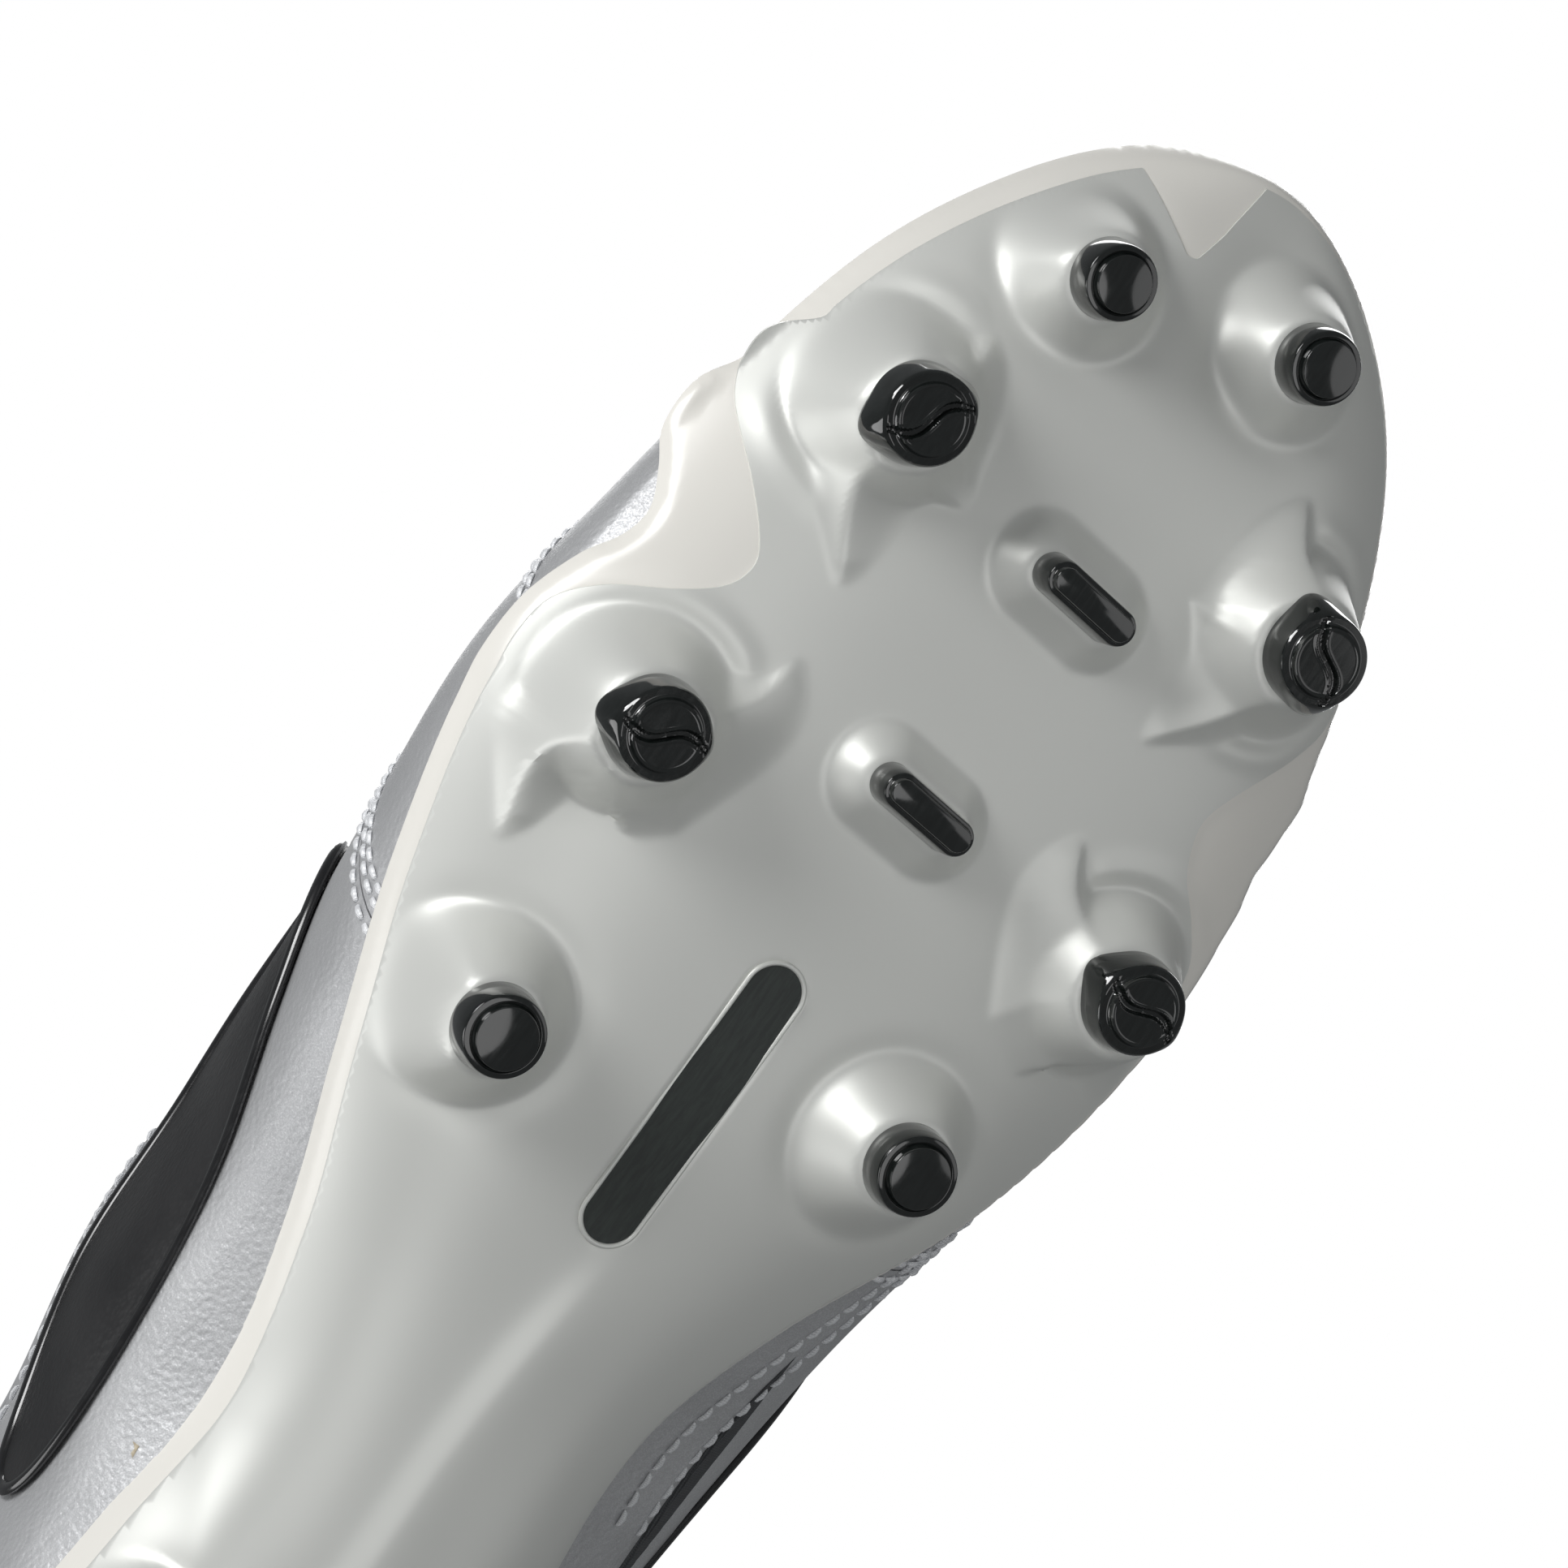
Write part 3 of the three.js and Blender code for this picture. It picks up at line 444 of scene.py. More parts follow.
def mesh_object(name: str, points: Array, faces: Sequence[Sequence[int]]) -> bpy.types.Object:
    """A new object from points in boot millimetres.

    Args:
        name: the piece's name.
        points: its points.
        faces: its faces, as rows of point numbers.

    Returns:
        The new object.
    """
    mesh = bpy.data.meshes.new(name)
    mesh.from_pydata([tuple(p) for p in world(points)], [], [tuple(f) for f in faces])
    mesh.update()
    obj = bpy.data.objects.new(name, mesh)
    bpy.context.scene.collection.objects.link(obj)
    return obj


def sheet_object(name: str, sheet: Sheet, thick: float = 0.0, angle: float = 40.0) -> bpy.types.Object:
    """A sheet as an object, with a wall behind its face where a thickness is given.

    Args:
        name: the piece's name.
        sheet: its outer face.
        thick: the wall's thickness.
        angle: edges under this many degrees are smooth.

    Returns:
        The new object.
    """
    obj = mesh_object(name, sheet.points, sheet.faces)
    finish_mesh(obj, angle)
    if thick:
        apply(obj, "SOLIDIFY", thickness=thick / 1000, offset=-1.0, use_even_offset=False)
        finish_mesh(obj, angle)
    return obj


def tube(name: str, path: Array, radius: Array | float, sides: int = 10, closed: bool = False,
         flat: float = 1.0, normals: Array | None = None) -> bpy.types.Object:
    """A rod along a path; flat squashes it across the normals that are given.

    Args:
        name: the piece's name.
        path: the middle line.
        radius: one radius, or one for each point.
        sides: corners of the section.
        closed: whether the ends meet.
        flat: thickness over width.
        normals: the direction to flatten along.

    Returns:
        The new object.
    """
    p = np.asarray(path, float)
    ahead = np.roll(p, -1, 0) - np.roll(p, 1, 0) if closed else np.gradient(p, axis=0)
    ahead /= np.linalg.norm(ahead, axis=1)[:, None]
    up = normals if normals is not None else np.tile([0.0, 0.0, 1.0], (len(p), 1))
    across = np.cross(ahead, up)
    across /= np.maximum(np.linalg.norm(across, axis=1)[:, None], 1e-6)
    up = np.cross(across, ahead)
    radius = np.broadcast_to(radius, len(p))
    turn = np.linspace(0, 2 * math.pi, sides, endpoint=False)
    rings = (
        p[:, None]
        + across[:, None] * (np.cos(turn)[None, :, None] * radius[:, None, None])
        + up[:, None] * (np.sin(turn)[None, :, None] * radius[:, None, None] * flat)
    )
    count = len(p)
    faces: list[tuple[int, ...]] = []
    for r in range(count if closed else count - 1):
        n = (r + 1) % count
        for c in range(sides):
            d = (c + 1) % sides
            faces.append((r * sides + c, r * sides + d, n * sides + d, n * sides + c))
    if not closed:
        faces.append(tuple(range(sides)))
        faces.append(tuple((count - 1) * sides + c for c in range(sides)))
    return finish_mesh(mesh_object(name, rings.reshape(-1, 3), faces), 50, True)


# ---- Finishes ----


NODE_PROPERTIES = frozenset({"feature", "bands_direction", "attribute_name", "node_tree"})


class Node:
    """Short hands for building a node tree."""

    def __init__(self, tree: bpy.types.NodeTree) -> None:
        """Keeps the tree."""
        self.tree = tree

    def add(self, kind: str, **values: object) -> bpy.types.Node:
        """A node with its properties, and its sockets where a name is a socket's."""
        node = self.tree.nodes.new(kind)
        for key, value in values.items():
            if key in NODE_PROPERTIES:
                setattr(node, key, value)
            else:
                node.inputs[key].default_value = value
        return node

    def link(self, source: bpy.types.NodeSocket, target: bpy.types.NodeSocket) -> None:
        """Joins two sockets."""
        self.tree.links.new(source, target)

    def math(self, operation: str, a: object, b: object = 0.0) -> bpy.types.NodeSocket:
        """A Math node on sockets or numbers."""
        node = self.tree.nodes.new("ShaderNodeMath")
        node.operation = operation
        for socket, value in zip(node.inputs, (a, b)):
            if isinstance(value, bpy.types.NodeSocket):
                self.link(value, socket)
            else:
                socket.default_value = value
        return node.outputs[0]

    def scaled(
        self, vector: bpy.types.NodeSocket, scale: Sequence[float], turn: float = 0.0
    ) -> bpy.types.NodeSocket:
        """A vector stretched along each axis, after a turn about Z."""
        node = self.tree.nodes.new("ShaderNodeMapping")
        node.inputs["Scale"].default_value = scale
        node.inputs["Rotation"].default_value = (0, 0, turn)
        self.link(vector, node.inputs["Vector"])
        return node.outputs[0]

    def ramp(
        self, value: bpy.types.NodeSocket, low: float, high: float, to_low: float, to_high: float
    ) -> bpy.types.NodeSocket:
        """A value mapped from one range to another and held at its ends."""
        node = self.tree.nodes.new("ShaderNodeMapRange")
        self.link(value, node.inputs[0])
        for i, v in enumerate((low, high, to_low, to_high)):
            node.inputs[i + 1].default_value = v
        return node.outputs[0]

    def mix(
        self, share: bpy.types.NodeSocket, a: Sequence[float], b: Sequence[float]
    ) -> bpy.types.NodeSocket:
        """A colour between two colours."""
        node = self.tree.nodes.new("ShaderNodeMix")
        node.data_type = "RGBA"
        self.link(share, node.inputs[0])
        for socket, value in ((node.inputs[6], a), (node.inputs[7], b)):
            if isinstance(value, bpy.types.NodeSocket):
                self.link(value, socket)
            else:
                socket.default_value = (*value, 1.0)
        return node.outputs[2]


def new_group(
    name: str, inputs: dict[str, float], outputs: dict[str, str]
) -> tuple[bpy.types.NodeTree, Node]:
    """An empty shader group with its sockets."""
    tree = bpy.data.node_groups.new(name, "ShaderNodeTree")
    tree.interface.new_socket("Vector", in_out="INPUT", socket_type="NodeSocketVector")
    for key, value in inputs.items():
        tree.interface.new_socket(key, in_out="INPUT", socket_type="NodeSocketFloat").default_value = value
    for key, kind in outputs.items():
        tree.interface.new_socket(key, in_out="OUTPUT", socket_type=kind)
    return tree, Node(tree)


def grain_group() -> bpy.types.NodeTree:
    """Leather grain: a pebble height and a soft mottle."""
    tree, n = new_group("leather_grain", {"Scale": 900.0, "Depth": 1.0},
                        {"Height": "NodeSocketFloat", "Mottle": "NodeSocketFloat"})
    inp, out = tree.nodes.new("NodeGroupInput"), tree.nodes.new("NodeGroupOutput")
    cells = n.add("ShaderNodeTexVoronoi", feature="SMOOTH_F1")
    n.link(inp.outputs["Vector"], cells.inputs["Vector"])
    n.link(inp.outputs["Scale"], cells.inputs["Scale"])
    folds = n.add("ShaderNodeTexNoise", Detail=4.0, Roughness=0.6)
    n.link(inp.outputs["Vector"], folds.inputs["Vector"])
    n.link(n.math("MULTIPLY", inp.outputs["Scale"], 0.35), folds.inputs["Scale"])
    height = n.math("ADD", n.math("MULTIPLY", cells.outputs["Distance"], 0.7), folds.outputs[0])
    n.link(n.math("MULTIPLY", height, inp.outputs["Depth"]), out.inputs["Height"])
    broad = n.add("ShaderNodeTexNoise", Scale=60.0, Detail=3.0)
    n.link(inp.outputs["Vector"], broad.inputs["Vector"])
    n.link(broad.outputs[0], out.inputs["Mottle"])
    return tree


def speck_group() -> bpy.types.NodeTree:
    """Fine metallic flake and a fibrous streak."""
    tree, n = new_group("metal_flake", {"Flake Scale": 4200.0},
                        {"Flake": "NodeSocketFloat", "Fibre": "NodeSocketFloat",
                         "Cloud": "NodeSocketFloat"})
    inp, out = tree.nodes.new("NodeGroupInput"), tree.nodes.new("NodeGroupOutput")
    flake = n.add("ShaderNodeTexNoise", Detail=2.0, Roughness=0.7)
    n.link(inp.outputs["Vector"], flake.inputs["Vector"])
    n.link(inp.outputs["Flake Scale"], flake.inputs["Scale"])
    n.link(flake.outputs[0], out.inputs["Flake"])
    fibre = n.add("ShaderNodeTexNoise", Scale=260.0, Detail=5.0, Roughness=0.65, Distortion=0.6)
    n.link(n.scaled(inp.outputs["Vector"], (6.0, 1.0, 1.0), 0.5), fibre.inputs["Vector"])
    n.link(fibre.outputs[0], out.inputs["Fibre"])
    cloud = n.add("ShaderNodeTexNoise", Scale=22.0, Detail=3.0)
    n.link(inp.outputs["Vector"], cloud.inputs["Vector"])
    n.link(cloud.outputs[0], out.inputs["Cloud"])
    return tree


def weave_group() -> bpy.types.NodeTree:
    """A knitted or woven height on its own coordinates."""
    tree, n = new_group("weave", {"Scale": 1200.0}, {"Height": "NodeSocketFloat"})
    inp, out = tree.nodes.new("NodeGroupInput"), tree.nodes.new("NodeGroupOutput")
    sides = []
    for direction in ("X", "Y", "Z"):
        wave = n.add("ShaderNodeTexWave", bands_direction=direction, Distortion=0.6)
        wave.inputs["Detail Scale"].default_value = 2.0
        n.link(inp.outputs["Vector"], wave.inputs["Vector"])
        n.link(inp.outputs["Scale"], wave.inputs["Scale"])
        sides.append(wave.outputs["Fac"])
    n.link(
        n.math("MULTIPLY", n.math("ADD", n.math("MULTIPLY", sides[0], sides[1]), sides[2]), 0.5),
        out.inputs["Height"],
    )
    return tree


COAT_ROUGHNESS, SCATTER_SCALE = 0.08, 0.003
SCATTER_RADIUS = (1.0, 0.85, 0.7)
GRAIN, SPECK, WEAVE = grain_group(), speck_group(), weave_group()


class Texture(Enum):
    """The surface detail that a finish carries."""

    FILM = "film"
    CLEAR = "clear"
    GLOSS = "gloss"
    METAL_LEATHER = "metal_leather"
    LEATHER = "leather"
    CLOTH = "cloth"
    THREAD = "thread"


@dataclass(frozen=True)
class Finish:
    """One finish and the look of its surface."""

    name: str
    texture: Texture
    colour: tuple[float, float, float]
    second: tuple[float, float, float]
    rough: float = 0.4
    metal: float = 0.0
    coat: float = 0.0
    scale: float = 900.0
    bump: float = 0.2
    depth: float = 0.0001
    subsurface: float = 0.0

    def material(self) -> bpy.types.Material:
        """The finish as a material, made once."""
        made = bpy.data.materials.get(self.name)
        if made:
            return made
        mat = bpy.data.materials.new(self.name)
        mat.use_nodes = True
        n = Node(mat.node_tree)
        shader = mat.node_tree.nodes["Principled BSDF"]
        shader.inputs["Roughness"].default_value = self.rough
        shader.inputs["Metallic"].default_value = self.metal
        shader.inputs["Coat Weight"].default_value = self.coat
        shader.inputs["Coat Roughness"].default_value = COAT_ROUGHNESS
        if self.subsurface:
            shader.inputs["Subsurface Weight"].default_value = self.subsurface
            shader.inputs["Subsurface Radius"].default_value = SCATTER_RADIUS
            shader.inputs["Subsurface Scale"].default_value = SCATTER_SCALE
        place = n.add("ShaderNodeTexCoord").outputs["Object"]
        bump = n.add("ShaderNodeBump", Strength=self.bump, Distance=self.depth)
        n.link(bump.outputs[0], shader.inputs["Normal"])
        getattr(self, "_" + self.texture.value)(n, shader, place, bump)
        return mat

    def _speck(self, n: Node, place: bpy.types.NodeSocket) -> bpy.types.Node:
        """The flake group on a place."""
        speck = n.add("ShaderNodeGroup", node_tree=SPECK)
        n.link(place, speck.inputs["Vector"])
        return speck

    def _film(
        self, n: Node, shader: bpy.types.Node, place: bpy.types.NodeSocket, bump: bpy.types.Node
    ) -> None:
        """Pearl silver film with flake, fibre and a grained band by its edge."""
        speck = self._speck(n, place)
        share = n.ramp(speck.outputs["Cloud"], 0.35, 0.65, 0.0, 0.6)
        share = n.math("ADD", share, n.ramp(speck.outputs["Flake"], 0.35, 0.75, -0.2, 0.3))
        n.link(n.mix(share, self.colour, self.second), shader.inputs["Base Color"])
        n.link(
            n.ramp(speck.outputs["Fibre"], 0.3, 0.7, self.rough - 0.06, self.rough + 0.06),
            shader.inputs["Roughness"],
        )
        band = n.add("ShaderNodeAttribute", attribute_name="edge_band")
        coarse = n.add("ShaderNodeTexNoise", Scale=1500.0, Detail=2.0)
        n.link(n.scaled(place, (1.0, 0.45, 1.0), 0.9), coarse.inputs["Vector"])
        grain = n.math("MULTIPLY", coarse.outputs[0], n.math("MULTIPLY", band.outputs["Fac"], 2.2))
        fine = n.math(
            "ADD",
            n.math("MULTIPLY", speck.outputs["Fibre"], 0.5),
            n.math("MULTIPLY", speck.outputs["Flake"], 0.35),
        )
        n.link(n.math("ADD", fine, grain), bump.inputs["Height"])

    def _clear(
        self, n: Node, shader: bpy.types.Node, place: bpy.types.NodeSocket, bump: bpy.types.Node
    ) -> None:
        """Milky moulded plastic with a little haze inside."""
        speck = self._speck(n, place)
        n.link(
            n.mix(n.ramp(speck.outputs["Cloud"], 0.35, 0.65, 0.0, 1.0), self.colour, self.second),
            shader.inputs["Base Color"],
        )
        n.link(speck.outputs["Fibre"], bump.inputs["Height"])
        n.link(
            n.ramp(speck.outputs["Cloud"], 0.3, 0.7, self.rough - 0.05, self.rough + 0.07),
            shader.inputs["Roughness"],
        )

    def _gloss(
        self, n: Node, shader: bpy.types.Node, place: bpy.types.NodeSocket, bump: bpy.types.Node
    ) -> None:
        """Polished moulding with faint sink marks and scuffs."""
        speck = self._speck(n, place)
        n.link(
            n.mix(n.ramp(speck.outputs["Fibre"], 0.4, 0.7, 0.0, 1.0), self.colour, self.second),
            shader.inputs["Base Color"],
        )
        n.link(
            n.ramp(speck.outputs["Fibre"], 0.35, 0.7, self.rough, self.rough + 0.1),
            shader.inputs["Roughness"],
        )
        n.link(speck.outputs["Cloud"], bump.inputs["Height"])

    def _grain(self, n: Node, place: bpy.types.NodeSocket) -> bpy.types.Node:
        """The leather grain group on a place."""
        grain = n.add("ShaderNodeGroup", node_tree=GRAIN)
        n.link(place, grain.inputs["Vector"])
        grain.inputs["Scale"].default_value = self.scale
        return grain

    def _metal_leather(
        self, n: Node, shader: bpy.types.Node, place: bpy.types.NodeSocket, bump: bpy.types.Node
    ) -> None:
        """Metallic leather: fine grain, sparkle and cloudy wear."""
        grain, speck = self._grain(n, place), self._speck(n, place)
        share = n.math(
            "ADD",
            n.ramp(grain.outputs["Mottle"], 0.25, 0.75, 0.15, 0.4),
            n.ramp(speck.outputs["Flake"], 0.45, 0.75, 0.0, 0.5),
        )
        n.link(n.mix(share, self.colour, self.second), shader.inputs["Base Color"])
        n.link(
            n.ramp(speck.outputs["Flake"], 0.35, 0.7, self.rough + 0.08, self.rough - 0.1),
            shader.inputs["Roughness"],
        )
        n.link(
            n.math("ADD", grain.outputs["Height"], n.math("MULTIPLY", speck.outputs["Flake"], 0.25)),
            bump.inputs["Height"],
        )

    def _leather(
        self, n: Node, shader: bpy.types.Node, place: bpy.types.NodeSocket, bump: bpy.types.Node
    ) -> None:
        """Grained leather."""
        grain = self._grain(n, place)
        n.link(
            n.mix(n.ramp(grain.outputs["Mottle"], 0.35, 0.65, 0.0, 1.0), self.colour, self.second),
            shader.inputs["Base Color"],
        )
        n.link(
            n.ramp(grain.outputs["Height"], 0.2, 1.0, self.rough + 0.12, self.rough - 0.08),
            shader.inputs["Roughness"],
        )
        n.link(grain.outputs["Height"], bump.inputs["Height"])

    def _cloth(
        self, n: Node, shader: bpy.types.Node, place: bpy.types.NodeSocket, bump: bpy.types.Node
    ) -> None:
        """Woven or knitted textile."""
        weave = n.add("ShaderNodeGroup", node_tree=WEAVE)
        n.link(place, weave.inputs["Vector"])
        weave.inputs["Scale"].default_value = self.scale
        fuzz = n.add("ShaderNodeTexNoise", Scale=self.scale * 2, Detail=2.0)
        n.link(place, fuzz.inputs["Vector"])
        n.link(n.mix(weave.outputs["Height"], self.second, self.colour), shader.inputs["Base Color"])
        n.link(
            n.ramp(fuzz.outputs[0], 0.3, 0.7, self.rough - 0.08, self.rough + 0.08),
            shader.inputs["Roughness"],
        )
        n.link(
            n.math("ADD", weave.outputs["Height"], n.math("MULTIPLY", fuzz.outputs[0], 0.4)),
            bump.inputs["Height"],
        )

    def _thread(
        self, n: Node, shader: bpy.types.Node, place: bpy.types.NodeSocket, bump: bpy.types.Node
    ) -> None:
        """Twisted thread or braid."""
        wave = n.add("ShaderNodeTexWave", bands_direction="DIAGONAL", Scale=self.scale, Distortion=1.0)
        n.link(place, wave.inputs["Vector"])
        n.link(n.mix(wave.outputs["Fac"], self.second, self.colour), shader.inputs["Base Color"])
        n.link(wave.outputs["Fac"], bump.inputs["Height"])


SILVER_FILM = Finish(
    "silver_film",
    Texture.FILM,
    (0.53, 0.545, 0.515),
    (0.76, 0.77, 0.73),
    0.34,
    0.72,
    0.3,
    bump=0.5,
    depth=0.00022,
)
CLEAR_PLATE = Finish(
    "clear_plate",
    Texture.CLEAR,
    (0.56, 0.53, 0.465),
    (0.64, 0.61, 0.54),
    0.34,
    0.0,
    0.25,
    bump=0.12,
    depth=0.0001,
    subsurface=0.35,
)
BLACK_TPU = Finish(
    "black_stud",
    Texture.GLOSS,
    (0.004, 0.0055, 0.005),
    (0.009, 0.011, 0.0105),
    0.05,
    0.0,
    0.8,
    bump=0.04,
    depth=0.0002,
)
INLAY_BLACK = Finish(
    "inlay_black",
    Texture.GLOSS,
    (0.018, 0.023, 0.021),
    (0.032, 0.04, 0.036),
    0.42,
    0.0,
    0.1,
    bump=0.12,
    depth=0.0001,
)
SILVER_LEATHER = Finish(
    "silver_leather",
    Texture.METAL_LEATHER,
    (0.42, 0.425, 0.435),
    (0.70, 0.705, 0.715),
    0.55,
    0.6,
    0.0,
    1300.0,
    0.6,
    0.00022,
)
OVERLAY_LEATHER = Finish(
    "overlay_leather",
    Texture.METAL_LEATHER,
    (0.45, 0.455, 0.465),
    (0.72, 0.725, 0.735),
    0.55,
    0.6,
    0.0,
    1200.0,
    0.45,
    0.00016,
)
BLACK_LEATHER = Finish(
    "panel_leather",
    Texture.LEATHER,
    (0.010, 0.010, 0.011),
    (0.020, 0.020, 0.021),
    0.5,
    0.0,
    0.0,
    1300.0,
    0.7,
    0.0002,
)
BORDER_GLOSS = Finish(
    "panel_border", Texture.GLOSS, (0.007, 0.007, 0.008), (0.012, 0.012, 0.013), 0.16, 0.0, 0.5, bump=0.05
)
THREAD = Finish(
    "seam_thread",
    Texture.THREAD,
    (0.90, 0.91, 0.93),
    (0.66, 0.67, 0.69),
    0.4,
    0.1,
    0.0,
    2200.0,
    0.5,
    0.0001,
)
TEXTILE = Finish(
    "lining_textile",
    Texture.CLOTH,
    (0.10, 0.105, 0.11),
    (0.035, 0.037, 0.04),
    0.85,
    0.0,
    0.0,
    900.0,
    0.6,
    0.0002,
)
FOAM_COVER = Finish(
    "foam_cover",
    Texture.CLOTH,
    (0.30, 0.31, 0.31),
    (0.16, 0.165, 0.17),
    0.85,
    0.0,
    0.0,
    1000.0,
    0.5,
    0.0002,
)
FIBRE_BOARD = Finish(
    "fibre_board", Texture.CLOTH, (0.62, 0.55, 0.42), (0.45, 0.39, 0.29), 0.9, 0.0, 0.0, 500.0, 0.4, 0.0001
)
LACE_BRAID = Finish(
    "lace_braid", Texture.CLOTH, (0.78, 0.79, 0.81), (0.48, 0.49, 0.51), 0.75, 0.0, 0.0, 1500.0, 0.7, 0.0002
)
AGLET_PLASTIC = Finish(
    "aglet_plastic", Texture.GLOSS, (0.70, 0.71, 0.70), (0.80, 0.81, 0.80), 0.15, 0.0, 0.6, bump=0.05
)
TONGUE_LEATHER = Finish(
    "tongue_leather",
    Texture.METAL_LEATHER,
    (0.30, 0.305, 0.315),
    (0.52, 0.525, 0.535),
    0.48,
    0.5,
    0.0,
    1100.0,
    0.5,
    0.00018,
)


def place(obj: bpy.types.Object, finish: Finish, slot: str, *nodes: str) -> bpy.types.Object:
    """Dresses a piece, rides it on the boot and hides the solids it stands for.

    Args:
        obj: the piece.
        finish: its finish.
        slot: not used.
        *nodes: the solids it stands for.

    Returns:
        The same object.
    """
    obj.data.materials.clear()
    obj.data.materials.append(finish.material())
    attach(obj, "root")
    if nodes:
        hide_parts(*nodes)
    LOG.info("%s: %d faces, %s", obj.name, len(obj.data.polygons), finish.name)
    return obj


# ---- Sole ----

HIGH_ABOVE = np.array([0.0, 140.0, 900.0])
FAR_BELOW = np.array([0.0, 140.0, -900.0])
SEAM_GAP = 0.15


class Kind(Enum):
    """The three shapes of a stud's tip."""

    ROUND = "round"
    BLADE = "blade"
    BAR = "bar"


@dataclass(frozen=True)
class Stud:
    """One stud: where its tip stands and how its dome spreads."""

    name: str
    x: float
    t: float
    face: float
    kind: Kind
    scale: float = 1.0
    crest: tuple[tuple[float, float], ...] = ()
    swell: float = 1.0
    groove: tuple[float, float] = (1.0, 0.0)


STUDS = (
    Stud("toe_stud_lateral", -18, 260.5, 8, Kind.ROUND, 0.9),
    Stud("toe_stud_medial", 11.5, 267.5, 9, Kind.ROUND, 0.9),
    Stud("blade_stud_lateral_front", -31, 233, 2, Kind.BLADE, 1.12,
         ((-24.5, 247), (-26.3, 241.5), (-31, 233), (-31.5, 223), (-24.5, 210.5)), 1.0, (6.5, 7.2)),
    Stud("blade_stud_medial_front", 30.5, 237.5, 2, Kind.BLADE, 1.12,
         ((23.4, 254), (26, 247), (30.5, 237.5), (28.5, 226.5), (20.5, 216.5)), -1.0, (-6.7, 9.5)),
    Stud("blade_stud_lateral_ball", -37, 184, 0, Kind.BLADE, 1.12,
         ((-23.5, 201), (-26.3, 193), (-37, 184), (-44.5, 175.5), (-41, 162)), 1.0, (11.3, 2.7)),
    Stud("blade_stud_medial_ball", 36, 189, 0, Kind.BLADE, 1.12,
         ((21, 203), (25, 195.5), (36, 189), (44, 185.5), (49, 176)), -1.0, (-10.3, 1.9)),
    Stud("round_stud_lateral_rear", -32, 143.5, 0, Kind.ROUND),
    Stud("round_stud_medial_rear", 23.5, 156.5, 0, Kind.ROUND),
    Stud("centre_bar_front", 1, 226.5, 4, Kind.BAR),
    Stud("centre_bar_rear", -1.5, 194, 3, Kind.BAR),
    Stud("heel_stud_lateral_front", -20.5, 55, 0, Kind.ROUND),
    Stud("heel_stud_medial_front", 19, 56, 0, Kind.ROUND),
    Stud("heel_stud_lateral_back", -16, 21, 0, Kind.ROUND),
    Stud("heel_stud_medial_back", 14.5, 21.5, 0, Kind.ROUND),
)


